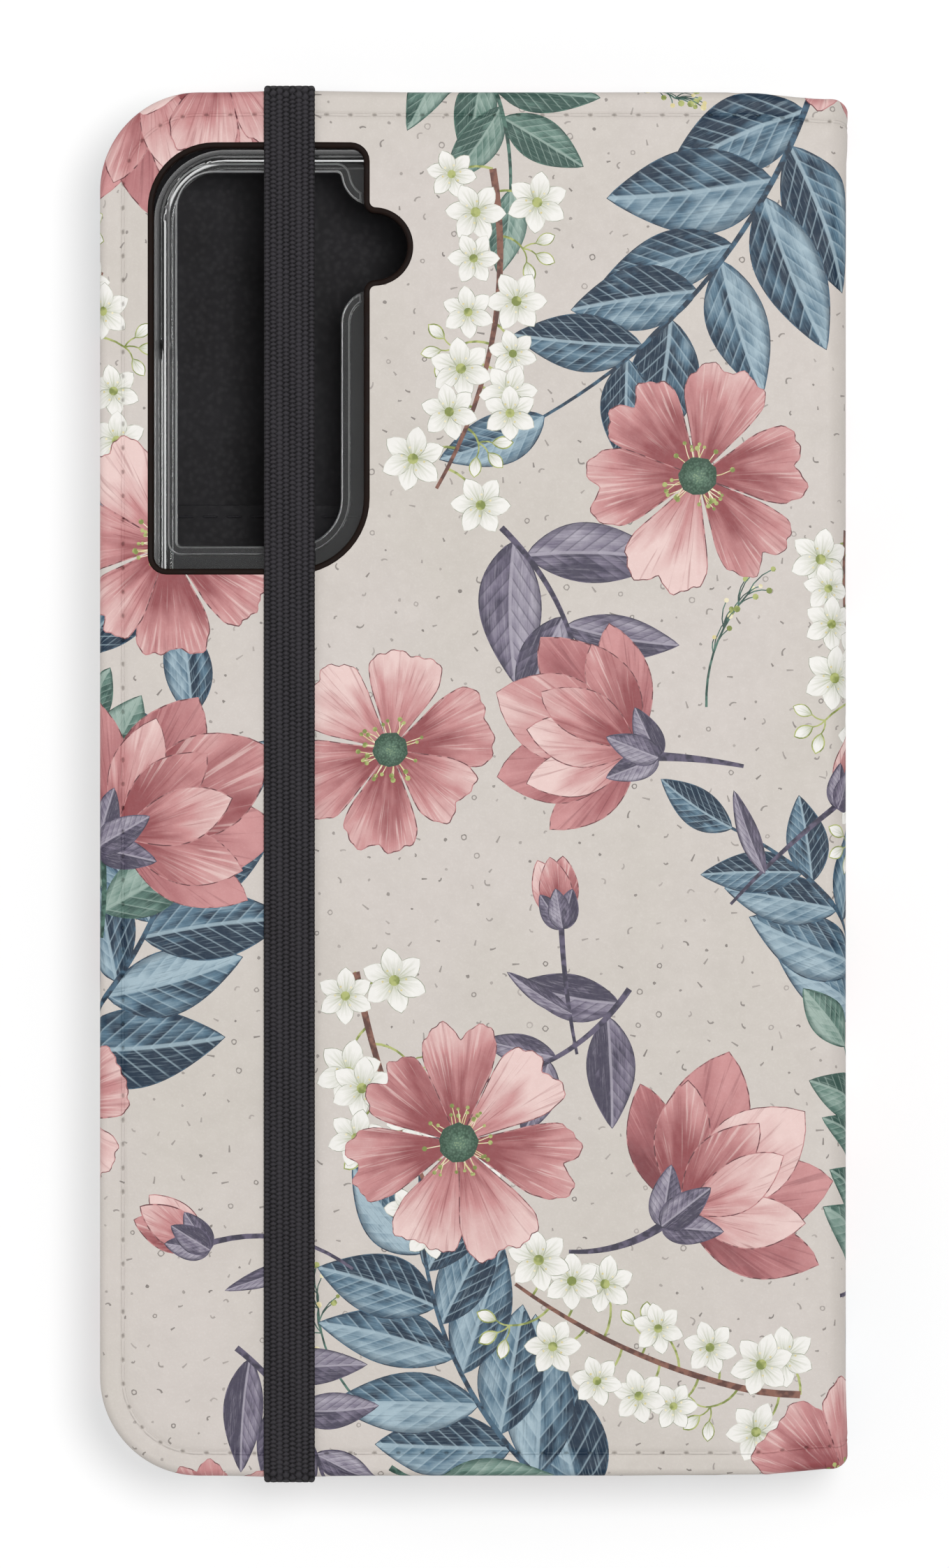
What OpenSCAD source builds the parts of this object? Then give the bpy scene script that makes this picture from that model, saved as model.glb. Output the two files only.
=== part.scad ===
// Folio phone case, closed and lying on its front cover.
// X runs from the fore-edge to the spine, Y along the phone's height, and Z up through the case.
// The origin is the centre of the footprint, on the surface that the front cover lies on.

/* [Phone it holds] */
// Width of the phone
phone_w = 70.6; // [66:0.1:78]
// Height of the phone
phone_h = 146; // [138:0.5:160]
// Thickness of the phone without its camera bump
phone_t = 7.6; // [6.6:0.1:9.5]
// Corner radius of the phone
phone_corner = 7; // [6:0.5:11]

/* [Covers] */
// Cover beyond the phone at the fore-edge
fore_margin = 7.7; // [7.4:0.1:12]
// Cover beyond the phone at the spine
spine_margin = 9.1; // [8.5:0.1:13]
// Cover beyond the phone at its top and bottom
end_margin = 8; // [7.6:0.1:12]
// Radius of the covers' corners at the fore-edge
cover_corner = 11.6; // [8:0.1:14]
// Thickness of the printed outer skin
skin_t = 0.8; // [0.6:0.05:1.2]
// Radius of the skin's turned edge
edge_r = 0.7; // [0.4:0.05:0.95]
// Thickness of the stiffening boards
board_t = 1.2; // [0.8:0.1:2]
// Thickness of the suede lining
lining_t = 0.6; // [0.4:0.05:1]
// Distance of the lining from the covers' edge
lining_inset = 1; // [0.6:0.1:2]

// Distance of the sewn seam from the covers' edge
seam_inset = 2.7; // [2:0.1:4]
// Width of the groove that the seam pulls into the skin
seam_w = 0.5; // [0.3:0.05:1]
// Depth of that groove
seam_t = 0.12; // [0.05:0.01:0.25]

/* [Spine] */
// Outside radius of each closed fold
fold_r = 2.4; // [2:0.1:3.2]
// How much the spine is shorter than the covers at each end
spine_inset = 0.8; // [0.2:0.1:2]
// Thickness of the spine's board
spine_board_t = 0.8; // [0.5:0.1:1.4]
// Thickness of the lining on the spine and in the folds
fold_lining_t = 0.4; // [0.3:0.05:0.8]

/* [Phone shell] */
// Wall thickness of the clear shell
shell_wall = 1.4; // [1:0.1:2]
// Thickness of the shell's back
shell_floor = 1.1; // [0.8:0.1:1.8]
// Overhang of the lip that snaps over the phone's edge
lip_reach = 0.5; // [0.3:0.05:0.9]
// Thickness of that lip
lip_t = 0.8; // [0.6:0.05:1.2]
// Outside rounding of the shell's back edge
shell_edge_r = 2.1; // [1.4:0.1:2.3]
// Clearance round the phone
phone_gap = 0.15; // [0.05:0.05:0.4]
// Thickness of the adhesive pad behind the shell
pad_t = 0.4; // [0.2:0.05:0.8]
// Clearance between the shell's lip and the pockets
closing_gap = 0.3; // [0.2:0.1:1]

/* [Shell openings] */
// Length of the slot for the volume and power keys
key_slot_l = 36; // [24:1:44]
// Height of the key slot and of the plug's opening
port_h = 5; // [4:0.1:5.6]
// Height of the key slot's middle above the phone's middle
key_slot_y = 34.3; // [28:0.1:40]
// Width of the opening for the charging plug
plug_w = 13.5; // [10:0.1:16]
// Width of the speaker slot
speaker_w = 12; // [8:0.5:14]
// Height of the speaker slot
speaker_h = 2.6; // [1.6:0.1:3.4]
// Distance of the speaker slot's middle from the plug's middle
speaker_x = 18; // [16:0.5:21]
// Distance of the microphone hole in the bottom wall from the plug's middle
mic_x = 13; // [11:0.5:18]
// Radius of the microphone holes
mic_r = 0.9; // [0.5:0.1:1.4]

/* [Camera window] */
// Width of the camera hole in the shell
camera_w = 19.2; // [16:0.1:24]
// Height of the camera hole in the shell
camera_h = 43.8; // [36:0.1:50]
// Distance of the hole from the phone's side edge
camera_side = 1.3; // [1.1:0.1:3]
// Distance of the hole from the phone's top edge
camera_top = 1.3; // [0.9:0.1:3]
// Radius of the hole's corner at the phone's own corner
camera_r_top = 4.4; // [3:0.1:8]
// Radius of the opposite corner
camera_r_foot = 5.6; // [3:0.1:8]
// Radius of the hole's two other corners
camera_r_small = 0.5; // [0.3:0.1:3]
// Width of the raised collar round the hole
collar_w = 1.1; // [0.8:0.1:1.4]
// Height of that collar above the shell's back
collar_t = 0.9; // [0.4:0.1:1.6]
// How much wider the cover's window is all round
window_margin = 3.4; // [2.8:0.1:4]
// Radius of the window's two small corners
window_r_small = 2.2; // [1.4:0.1:4]
// Rounding where the flash lobe meets the window's side
window_fillet = 0.7; // [0.5:0.1:1.2]
// Width of the painted edge that trims the window
trim_w = 0.7; // [0.4:0.05:1.2]
// How far that trim stands proud of the skin
trim_proud = 0.03; // [0:0.01:0.04]
// Height of the flash lobe's centre below the hole's top edge
flash_drop = 8.8; // [8.5:0.1:14]
// Radius of the window's lobe for the flash
flash_r = 4.6; // [3.6:0.1:5]

/* [Elastic strap] */
// Width of the strap
strap_w = 6; // [4:0.5:9]
// Thickness of the strap
strap_t = 0.7; // [0.5:0.1:1.4]
// Distance of the strap's centre from the fore-edge
strap_from_edge = 22.2; // [16:0.1:34]
// Clearance between the strap and the cover it lies on
strap_gap = 0.1; // [0.06:0.01:0.3]
// Length of each sewn end on the inside of the back cover
strap_tab = 5.2; // [3:0.1:5.6]

/* [Pockets] */
// Thickness of a pocket's panel
pocket_t = 0.45; // [0.3:0.05:0.7]
// Free height inside an empty pocket
pocket_gap = 0.15; // [0.1:0.05:0.4]
// Width of the seam that closes a pocket on three sides
pocket_seam_w = 3; // [2:0.5:5]
// Height of the card slots, along the long side of a card
slot_h = 94; // [90:1:110]
// Lower end of the card slots, above the covers' lower edge
slot_from_foot = 20; // [8:1:30]
// Depth of the front card slot
slot_depth = 44; // [36:1:50]
// Step from one card slot to the next
slot_step = 9; // [5:0.5:12]
// How far the slip pocket stops short of the board's end
slip_short = 9; // [6:0.5:12]
// Radius of the thumb notch in each card slot
notch_r = 8; // [5:0.5:10]

/* [Hidden] */
$fn = 64;
eps = 0.01;
// How far a cut runs past what it cuts
over = 1;
card_slots = 3;

// Overall sizes of the closed case
cover_w = fore_margin + phone_w + spine_margin;
cover_h = phone_h + 2 * end_margin;
fore_x = -cover_w / 2;
spine_x = cover_w / 2;
panel_end = spine_x - fold_r;
// The boards stop short of the folds
board_gap = 1;
board_end = panel_end - board_gap;
panel_t = skin_t + board_t + lining_t;
spine_h = cover_h - 2 * spine_inset;
corner_plan_r = 1.5;
seam_y = cover_h / 2 - seam_inset;
// Width of the skin's turned edge, which the lining's edge laps over
rim_w = lining_inset + 0.2;

// Heights of what is stacked on the front cover
layer_t = pocket_gap + pocket_t;
slip_z = panel_t;
slots_z = slip_z + layer_t;
shell_z = slots_z + card_slots * layer_t + closing_gap;
bay_t = phone_t + phone_gap;
shell_t = lip_t + bay_t + shell_floor;
pad_z = shell_z + shell_t;
back_z = pad_z + pad_t;
case_t = back_z + panel_t;

// The shell lies where the margins put the phone
phone_x = fore_x + fore_margin + phone_w / 2;
shell_w = phone_w + 2 * (phone_gap + shell_wall);
shell_h = phone_h + 2 * (phone_gap + shell_wall);
shell_r = phone_corner + phone_gap + shell_wall;
// Width of the band that is swept round the shell, from its outside inwards
shell_band = shell_wall + shell_edge_r + lip_reach;
port_z = lip_t + bay_t / 2;

// The camera hole, from its upper corner at the fore-edge side
camera_x = phone_x - phone_w / 2 + camera_side;
camera_y = phone_h / 2 - camera_top;
// The flash lies a little beyond the window's straight side, with room round its lens in the shell
flash_out = 0.5;
flash_room = 0.3;
flash_x = camera_x + camera_w + window_margin + flash_out;
flash_y = camera_y - flash_drop;

strap_x = fore_x + strap_from_edge;
// Inside radius of the strap's turn under the lining
tuck_r = 0.6;

// ---- Plane shapes ----

// What a fillet of radius r removes from a corner at the origin of a shape in the first quadrant
module corner_cut(r) {
    difference() {
        translate([-over, -over]) square(r + over);
        translate([r, r]) circle(r);
    }
}

// A cover's outline, inset by d, with round corners at the fore-edge and a straight end at x = right
module cover_outline(d, right) {
    left = fore_x + d;
    half = cover_h / 2 - d;
    difference() {
        translate([left, -half]) square([right - left, 2 * half]);
        translate([left, -half]) corner_cut(cover_corner - d);
        translate([left, half]) rotate(-90) corner_cut(cover_corner - d);
    }
}

// A w by h plate hanging down from its upper left corner, with its four corner radii in turn:
// upper left, upper right, lower right, lower left
module camera_plate(w, h, radii) {
    difference() {
        translate([0, -h]) square([w, h]);
        rotate(-90) corner_cut(radii[0]);
        translate([w, 0]) rotate(180) corner_cut(radii[1]);
        translate([w, -h]) rotate(90) corner_cut(radii[2]);
        translate([0, -h]) corner_cut(radii[3]);
    }
}

// The cover's window with its flash lobe, inset by d
module window_outline(d) {
    grow = window_margin - d;
    small = window_r_small - d;
    translate([camera_x - grow, camera_y + grow])
        camera_plate(camera_w + 2 * grow, camera_h + 2 * grow,
            [camera_r_top + grow, small, camera_r_foot + grow, small]);
    lobe = flash_r - d;
    fillet = window_fillet + d;
    side_x = camera_x + camera_w + grow;
    out = flash_x - side_x;
    // the fillet's circle bites a little into the lobe's, so that they cross instead of touching
    reach = lobe + fillet - 0.03;
    rise = sqrt(pow(reach, 2) - pow(fillet - out, 2));
    translate([flash_x, flash_y]) circle(lobe);
    for (side = [-1, 1])
        translate([side_x, flash_y]) scale([1, side]) difference() {
            translate([-eps, 0]) square([eps + out + (fillet - out) * lobe / reach, rise]);
            translate([fillet, rise]) circle(fillet);
        }
}

// The shell's camera hole, grown by d. Two fillets lead from its side to the flash.
module camera_outline(d) {
    side_x = camera_x + camera_w + d;
    neck = flash_r + flash_room + d;
    reach = flash_x - side_x;
    small = camera_r_small + d;
    translate([camera_x - d, camera_y + d])
        camera_plate(camera_w + 2 * d, camera_h + 2 * d, [camera_r_top + d, small, camera_r_foot + d, small]);
    translate([side_x - eps, flash_y - neck]) square([reach + eps, 2 * neck]);
    translate([flash_x, flash_y]) circle(neck);
    for (side = [-1, 1])
        translate([side_x, flash_y + side * neck]) rotate(side > 0 ? 0 : -90) difference() {
            square(reach - eps);
            translate([reach, reach]) circle(reach);
        }
}

// A slot w long and h high with round ends, centred
module round_slot(w, h) {
    square([w - h, h], center = true);
    for (side = [-1, 1]) translate([side * (w - h) / 2, 0]) circle(h / 2);
}

// ---- Swept shapes ----

// Sweeps a section round a w by h rectangle with corner radius r.
// The section's x is the distance from a corner's centre, and its y is the height.
module sweep_round(w, h, r) {
    for (turn = [0:3]) {
        along = turn % 2 == 0 ? h : w;
        across = turn % 2 == 0 ? w : h;
        rotate(90 * turn) {
            translate([across / 2 - r, along / 2 - r]) rotate_extrude(angle = 90) children();
            translate([across / 2 - r, along / 2 - r]) rotate([90, 0, 0])
                linear_extrude(along - 2 * r) children();
        }
    }
}

// A cover's skin, with its printed face down at z = 0 and its edge turned up round the board
module cover_skin() {
    rim_h = skin_t + board_t;
    run = panel_end - fore_x - cover_corner;
    side_y = cover_h / 2 - cover_corner;
    difference() {
        union() {
            // the floor runs a little way into the rim
            linear_extrude(skin_t) cover_outline((rim_w + edge_r) / 2, panel_end);
            for (side = [-1, 1]) scale([1, side, 1]) {
                // along the top and bottom edges
                translate([fore_x + cover_corner, side_y, 0])
                    rotate([90, 0, 90]) linear_extrude(run) rim_section(rim_h);
                // round the corners at the fore-edge
                translate([fore_x + cover_corner, side_y, 0])
                    rotate(90) rotate_extrude(angle = 90) rim_section(rim_h);
            }
            // along the fore-edge
            translate([fore_x + cover_corner, side_y, 0])
                rotate([90, 0, 0]) linear_extrude(2 * side_y) mirror([1, 0]) rim_section(rim_h);
        }
        // the groove of the sewn seam, which runs on over the folds and the spine
        translate([0, 0, -over]) linear_extrude(over + seam_t) difference() {
            cover_outline(seam_inset - seam_w / 2, spine_x);
            cover_outline(seam_inset + seam_w / 2, spine_x + over);
        }
        // the two corners in plan where the cover meets the spine
        for (side = [-1, 1])
            translate([panel_end, side * cover_h / 2, -over]) rotate(side > 0 ? 180 : 90)
                linear_extrude(rim_h + 2 * over) corner_cut(corner_plan_r);
    }
}

// Section of the turned edge, at the corner radius from the corner's centre
module rim_section(h) {
    difference() {
        translate([cover_corner - rim_w, 0]) square([rim_w, h]);
        translate([cover_corner, 0]) rotate(90) corner_cut(edge_r);
    }
}

// A cover's stiffening board, between the skin and the lining
module cover_board() {
    translate([0, 0, skin_t]) linear_extrude(board_t) cover_outline(rim_w, board_end);
}

// A cover's lining, which turns down round the board's end to the fold
module cover_lining() {
    half = cover_h / 2 - rim_w;
    translate([0, 0, skin_t + board_t]) linear_extrude(lining_t) cover_outline(lining_inset, board_end + eps);
    translate([board_end, -half, skin_t]) {
        cube([lining_t, 2 * half, board_t + lining_t]);
        cube([panel_end - board_end, 2 * half, fold_lining_t]);
    }
}

// Lays a cover's layers face up on top of the closed case
module on_back() {
    translate([0, 0, case_t]) mirror([0, 0, 1]) children();
}

// ---- Front cover ----

module front_skin() {
    color("#D3CBC6") cover_skin();
}

module front_board() {
    color("#B9A98C") cover_board();
}

module front_lining() {
    color("#25242A") cover_lining();
}

// A pocket's panel with the seam under it on three sides. It is open towards the spine.
module pocket(foot, height, left, depth) {
    translate([left, foot, pocket_gap]) cube([depth, height, pocket_t]);
    translate([left, foot, 0]) cube([pocket_seam_w, height, pocket_gap]);
    for (end = [0, height - pocket_seam_w])
        translate([left, foot + end, 0]) cube([depth, pocket_seam_w, pocket_gap]);
}

module slip_pocket() {
    left = fore_x + lining_inset;
    depth = board_end - slip_short - left;
    half = cover_h / 2 - lining_inset;
    color("#1E1D22") translate([0, 0, slip_z]) difference() {
        pocket(-half, 2 * half, left, depth);
        for (side = [-1, 1])
            translate([left, side * half, -over]) rotate(side > 0 ? -90 : 0)
                linear_extrude(layer_t + 2 * over) corner_cut(cover_corner - lining_inset);
    }
}

// Card slot n, where 1 is the front one and the shallowest
module card_pocket(n) {
    left = fore_x + 2 * lining_inset;
    depth = slot_depth + (n - 1) * slot_step;
    foot = slot_from_foot - cover_h / 2;
    color("#232227") translate([0, 0, slots_z + (card_slots - n) * layer_t]) difference() {
        pocket(foot, slot_h, left, depth);
        translate([left + depth, foot + slot_h / 2, -over]) cylinder(r = notch_r, h = layer_t + 2 * over);
    }
}

// ---- Spine and folds ----

// Section along Y of what wraps the spine, t thick, with its outer face at distance r from the Y axis.
// Its ends are rounded, and the groove of the sewn seam crosses it near both.
module wrap_section(r, t) {
    half = spine_h / 2;
    difference() {
        translate([r - t, -half]) square([t, spine_h]);
        for (side = [-1, 1]) scale([1, side]) {
            translate([r, half]) rotate(180) corner_cut(edge_r);
            translate([r - seam_t, seam_y - seam_w / 2]) square([seam_t + over, seam_w]);
        }
    }
}

// A closed fold: a quarter turn about the Y axis, from the spine's side towards z = 0
module fold_strip() {
    rotate([-90, 0, 0]) rotate_extrude(angle = 90) wrap_section(fold_r, skin_t + fold_lining_t);
}

module fold_front() {
    color("#D3CBC6") translate([panel_end, 0, fold_r]) fold_strip();
}

module fold_back() {
    color("#D3CBC6") on_back() translate([panel_end, 0, fold_r]) fold_strip();
}

// A layer inside the spine's skin, from depth d, t thick, and inset from the folds and the ends
module spine_layer(d, t, end_inset) {
    fold_gap = 0.3;
    half = spine_h / 2 - end_inset;
    translate([spine_x - d - t, -half, fold_r + fold_gap])
        cube([t, 2 * half, case_t - 2 * (fold_r + fold_gap)]);
}

module spine_skin() {
    color("#D3CBC6") translate([0, 0, fold_r])
        linear_extrude(case_t - 2 * fold_r) wrap_section(spine_x, skin_t);
}

module spine_board() {
    color("#B9A98C") spine_layer(skin_t, spine_board_t, lining_inset);
}

module spine_lining() {
    color("#25242A") spine_layer(skin_t + spine_board_t, fold_lining_t, lining_inset - fold_lining_t);
}

// ---- Back cover ----

module window_cut(inset) {
    translate([0, 0, back_z - over]) linear_extrude(panel_t + 2 * over) window_outline(inset);
}

module back_skin() {
    color("#D3CBC6") difference() {
        on_back() cover_skin();
        window_cut(0);
    }
}

module back_board() {
    color("#B9A98C") difference() {
        on_back() cover_board();
        window_cut(0);
    }
}

module back_lining() {
    color("#25242A") difference() {
        on_back() cover_lining();
        window_cut(0);
    }
}

// The dark painted edge that closes the cut through skin, board and lining
module window_trim() {
    color("#241715") translate([0, 0, back_z]) linear_extrude(panel_t + trim_proud) difference() {
        window_outline(0);
        window_outline(trim_w);
    }
}

// ---- Phone shell ----

// Section of the shell's wall, lip and back edge, with the lip at y = 0
module shell_section() {
    inner = shell_r - shell_band;
    difference() {
        translate([inner, 0]) square([shell_band, shell_t]);
        translate([shell_r, shell_t]) rotate(180) corner_cut(shell_edge_r);
        translate([shell_r, 0]) rotate(90) corner_cut(lip_t / 2);
        difference() {
            translate([inner - over, lip_t]) square([over + shell_band - shell_wall, bay_t]);
            translate([shell_r - shell_wall, lip_t + bay_t])
                rotate(180) corner_cut(shell_edge_r - shell_floor);
        }
        translate([inner - over, -over])
            square([over + shell_band - shell_wall - lip_reach, lip_t + over + eps]);
    }
}

// The shell without its holes, lip down at z = 0 and centred on the phone
module shell_body() {
    sweep_round(shell_w, shell_h, shell_r) shell_section();
    translate([0, 0, lip_t + bay_t]) linear_extrude(shell_floor) difference() {
        square([shell_w - 2 * shell_band, shell_h - 2 * shell_band], center = true);
        for (sx = [-1, 1], sy = [-1, 1])
            scale([sx, sy]) translate([shell_band - shell_w / 2, shell_band - shell_h / 2])
                corner_cut(shell_r - shell_band);
    }
}

// Openings through the shell's walls for the keys, the plug, the speaker and the microphones
module shell_side_cuts() {
    deep = shell_wall + 2 * over;
    // volume and power keys, in the wall at the fore-edge
    translate([-shell_w / 2 - over, key_slot_y, port_z]) rotate([90, 0, 90])
        linear_extrude(deep) round_slot(key_slot_l, port_h);
    // charging plug, speaker and microphone in the bottom wall
    translate([0, over - shell_h / 2 + shell_wall, port_z]) rotate([90, 0, 0]) linear_extrude(deep) {
        round_slot(plug_w, port_h);
        translate([-speaker_x, 0]) round_slot(speaker_w, speaker_h);
        translate([mic_x, 0]) circle(mic_r);
    }
    // second microphone in the top wall
    translate([mic_x / 2, shell_h / 2 + over, port_z]) rotate([90, 0, 0]) cylinder(r = mic_r, h = deep);
}

// The raised collar that guards the lenses. It keeps inside the cover's window.
module camera_collar() {
    root = 0.6;
    translate([0, 0, pad_z - root]) linear_extrude(root + collar_t) difference() {
        intersection() {
            camera_outline(collar_w);
            window_outline(trim_w + flash_room);
        }
        camera_outline(0);
    }
}

module phone_shell() {
    color("#E8ECEE", 0.35) {
        difference() {
            translate([phone_x, 0, shell_z]) difference() {
                shell_body();
                shell_side_cuts();
            }
            translate([0, 0, pad_z - shell_floor - over])
                linear_extrude(shell_floor + 2 * over) camera_outline(0);
        }
        camera_collar();
    }
}

// The die-cut adhesive pad that bonds the shell to the back cover's lining
module shell_pad() {
    inset = shell_edge_r + shell_wall;
    left = phone_x - shell_w / 2;
    top = shell_h / 2;
    color("#3A3A3E") translate([0, 0, pad_z]) linear_extrude(pad_t) difference() {
        translate([left + inset, inset - top]) square([shell_w - 2 * inset, shell_h - 2 * inset]);
        // clear of the camera window and its flash lobe
        translate([left, camera_y - camera_h - window_margin - over])
            square([flash_x + flash_r + over - left, top + camera_h]);
    }
}

// ---- Elastic strap ----

module strap_span() {
    length = cover_h - 2 * edge_r;
    color("#262429") translate([strap_x - strap_w / 2, -length / 2, case_t + strap_gap])
        cube([strap_w, length, strap_t]);
}

// A quarter ring in the first quadrant, from radius r to r + strap_t
module strap_bend(r) {
    intersection() {
        square(r + strap_t);
        difference() {
            circle(r + strap_t);
            circle(r);
        }
    }
}

// The strap's turn round the top edge of the back cover, from its span to its sewn end
module strap_turn() {
    leg_y = cover_h / 2 + strap_gap;
    leg_top = case_t - edge_r;
    leg_foot = back_z + tuck_r;
    color("#262429") translate([strap_x - strap_w / 2, 0, 0]) rotate([90, 0, 90]) linear_extrude(strap_w) {
        translate([cover_h / 2 - edge_r, leg_top]) strap_bend(edge_r + strap_gap);
        translate([leg_y, leg_foot]) square([strap_t, leg_top - leg_foot]);
        translate([leg_y - tuck_r, leg_foot]) mirror([0, 1]) strap_bend(tuck_r);
    }
}

// The strap's end, sewn flat under the lining of the back cover
module strap_anchor() {
    end_y = cover_h / 2 + strap_gap - tuck_r;
    color("#262429") translate([strap_x - strap_w / 2, end_y - strap_tab, back_z - strap_t])
        cube([strap_w, strap_tab, strap_t]);
}

front_skin();
front_board();
front_lining();
slip_pocket();
card_pocket(1);  // card_pocket_1
card_pocket(2);  // card_pocket_2
card_pocket(3);  // card_pocket_3
fold_front();
spine_skin();
spine_board();
spine_lining();
fold_back();
back_skin();
back_board();
back_lining();
window_trim();
shell_pad();
phone_shell();
strap_span();
strap_turn();  // strap_turn_top
mirror([0, 1, 0]) strap_turn();  // strap_turn_bottom
strap_anchor();  // strap_anchor_top
mirror([0, 1, 0]) strap_anchor();  // strap_anchor_bottom
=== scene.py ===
"""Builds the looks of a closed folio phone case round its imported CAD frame.

The case lies on its front cover. X runs to the spine, Y to the phone's top and Z up. Every piece is placed in the
frame's own metres; lengths in this file are millimetres and are turned into metres once, where meshes are made.
"""
import logging
import math
from dataclasses import dataclass, replace
from enum import Enum
from functools import cache
from typing import Callable, Sequence

import bmesh
import bpy
import numpy as np
from bmesh.types import BMesh, BMFace
from bpy.types import ID, Material, Node, Object
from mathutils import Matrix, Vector
from mathutils.geometry import delaunay_2d_cdt


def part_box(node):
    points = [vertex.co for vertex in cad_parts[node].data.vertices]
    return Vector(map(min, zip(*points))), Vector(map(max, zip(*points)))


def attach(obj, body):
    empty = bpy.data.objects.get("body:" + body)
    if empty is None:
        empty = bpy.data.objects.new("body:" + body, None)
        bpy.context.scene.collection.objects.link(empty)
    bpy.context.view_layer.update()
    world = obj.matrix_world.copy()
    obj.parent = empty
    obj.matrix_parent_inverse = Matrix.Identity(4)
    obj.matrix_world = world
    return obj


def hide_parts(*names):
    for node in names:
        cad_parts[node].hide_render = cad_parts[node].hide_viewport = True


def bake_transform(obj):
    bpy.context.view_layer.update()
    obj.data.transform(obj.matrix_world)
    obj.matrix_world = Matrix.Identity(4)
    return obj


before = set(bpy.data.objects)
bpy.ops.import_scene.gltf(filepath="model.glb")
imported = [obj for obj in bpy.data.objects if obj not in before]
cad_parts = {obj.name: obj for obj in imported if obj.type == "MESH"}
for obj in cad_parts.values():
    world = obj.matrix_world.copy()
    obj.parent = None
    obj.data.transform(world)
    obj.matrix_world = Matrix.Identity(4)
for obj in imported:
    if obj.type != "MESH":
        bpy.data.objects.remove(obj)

Array = np.ndarray
log = logging.getLogger("phone_case")
MM = 0.001


# --- Sizes ---


def span(node: str) -> Array:
    """Gives a CAD node's lowest and highest corners in millimetres."""
    return np.array(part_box(node)) / MM


@dataclass(frozen=True)
class CaseSizes:
    """Where the CAD frame's pieces lie, in millimetres. Sizes with a default are those of the CAD source."""

    fore_x: float
    spine_x: float
    panel_end: float
    half_h: float
    spine_half_h: float
    case_t: float
    back_z: float
    strap_x: float
    strap_w: float
    strap_z: float
    strap_t: float
    window_left: float
    window_right: float
    window_top: float
    window_foot: float
    cover_corner: float = 11.6
    edge_r: float = 0.9
    skin_t: float = 0.8
    panel_rim: float = 2.0
    seam_inset: float = 2.7
    window_r_top: float = 7.8
    window_r_foot: float = 9.0
    window_r_small: float = 2.2
    window_fillet: float = 0.7
    trim_w: float = 0.7
    flash_out: float = 0.5
    flash_drop: float = 12.2
    flash_r: float = 4.6

    @classmethod
    def from_frame(cls) -> "CaseSizes":
        """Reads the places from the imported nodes' boxes.

        Returns:
            The sizes.
        """
        skin, spine, trim = span("back_skin"), span("spine_skin"), span("window_trim")
        lining, strap, fold = span("back_lining"), span("strap_span"), span("fold_back")
        return cls(fore_x=skin[0][0], spine_x=spine[1][0], panel_end=fold[0][0], half_h=skin[1][1],
                   spine_half_h=spine[1][1], case_t=skin[1][2], back_z=lining[0][2],
                   strap_x=(strap[0][0] + strap[1][0]) / 2, strap_w=strap[1][0] - strap[0][0],
                   strap_z=strap[0][2], strap_t=strap[1][2] - strap[0][2], window_left=trim[0][0],
                   window_right=trim[1][0] - cls.flash_r - cls.flash_out, window_top=trim[1][1],
                   window_foot=trim[0][1])

    @property
    def panel_w(self) -> float:
        """Width of a cover on the unrolled sheet."""
        return self.panel_end - self.fore_x

    @property
    def fold_r(self) -> float:
        """Outside radius of a closed fold."""
        return self.spine_x - self.panel_end

    @property
    def fold_w(self) -> float:
        """Width of a fold on the unrolled sheet."""
        return self.fold_r * math.pi / 2

    @property
    def spine_w(self) -> float:
        """Width of the spine between its folds."""
        return self.case_t - 2 * self.fold_r

    @property
    def sheet_w(self) -> float:
        """Width of the whole unrolled cover."""
        return 2 * self.panel_w + 2 * self.fold_w + self.spine_w

    @property
    def seam_run(self) -> float:
        """Length of a cover's seam from the middle of the fore-edge to the fold."""
        return (self.half_h - self.cover_corner + (self.cover_corner - self.seam_inset) * math.pi / 2
                + self.panel_w - self.cover_corner)

    @property
    def stitch_pitch(self) -> float:
        """Distance from stitch to stitch, about 2.8 mm, which divides the seam round both covers evenly."""
        half = 2 * self.seam_run + 2 * self.fold_w + self.spine_w
        return half / round(half / 2.8)


# --- The print: motifs drawn as closed outlines on the unrolled cover, in millimetres ---


#: the form of every leaf, which its shading follows: how low its widest place is, and how drawn-out its tips are
LEAF_FAT, LEAF_SHARP = 0.86, 0.92


class Ink(Enum):
    """What fills a patch of the print."""

    GROUND = "ground"
    FLECK = "fleck"
    ROSE_LINE = "rose_line"
    ROSE = "rose"
    ROSE_DEEP = "rose_deep"
    HEART = "heart"
    STAMEN = "stamen"
    BLUE_LINE = "blue_line"
    BLUE = "blue"
    MAUVE_LINE = "mauve_line"
    MAUVE = "mauve"
    SAGE_LINE = "sage_line"
    SAGE = "sage"
    WHITE_LINE = "white_line"
    WHITE = "white"
    TWIG = "twig"
    LIME = "lime"
    CUT = "cut"


@dataclass(frozen=True)
class Patch:
    """One closed outline of the print.

    Args:
        outline: Corner points on the unrolled cover, counter-clockwise.
        ink: What fills it.
        origin: Where the patch's own coordinates start.
        angle: Direction of its own u axis, in radians.
        scale: Lengths of one unit along u and across it.
        tone: Chance value from 0 to 1, which varies the ink.
        bend: How far the midrib has left the u axis at u = 1, in units of v.
    """

    outline: Array
    ink: Ink
    origin: tuple[float, float] = (0.0, 0.0)
    angle: float = 0.0
    scale: tuple[float, float] = (1.0, 1.0)
    tone: float = 0.5
    bend: float = 0.0


def turned(points: Array, at: Sequence[float], angle: float) -> Array:
    """Turns points round the origin and moves the origin to at."""
    c, s = math.cos(angle), math.sin(angle)
    return points @ np.array([[c, s], [-s, c]]) + np.array(at)


def ray(angle: float, length: float = 1.0) -> Array:
    """A step of some length in a direction in radians."""
    return length * np.array([math.cos(angle), math.sin(angle)])


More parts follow.
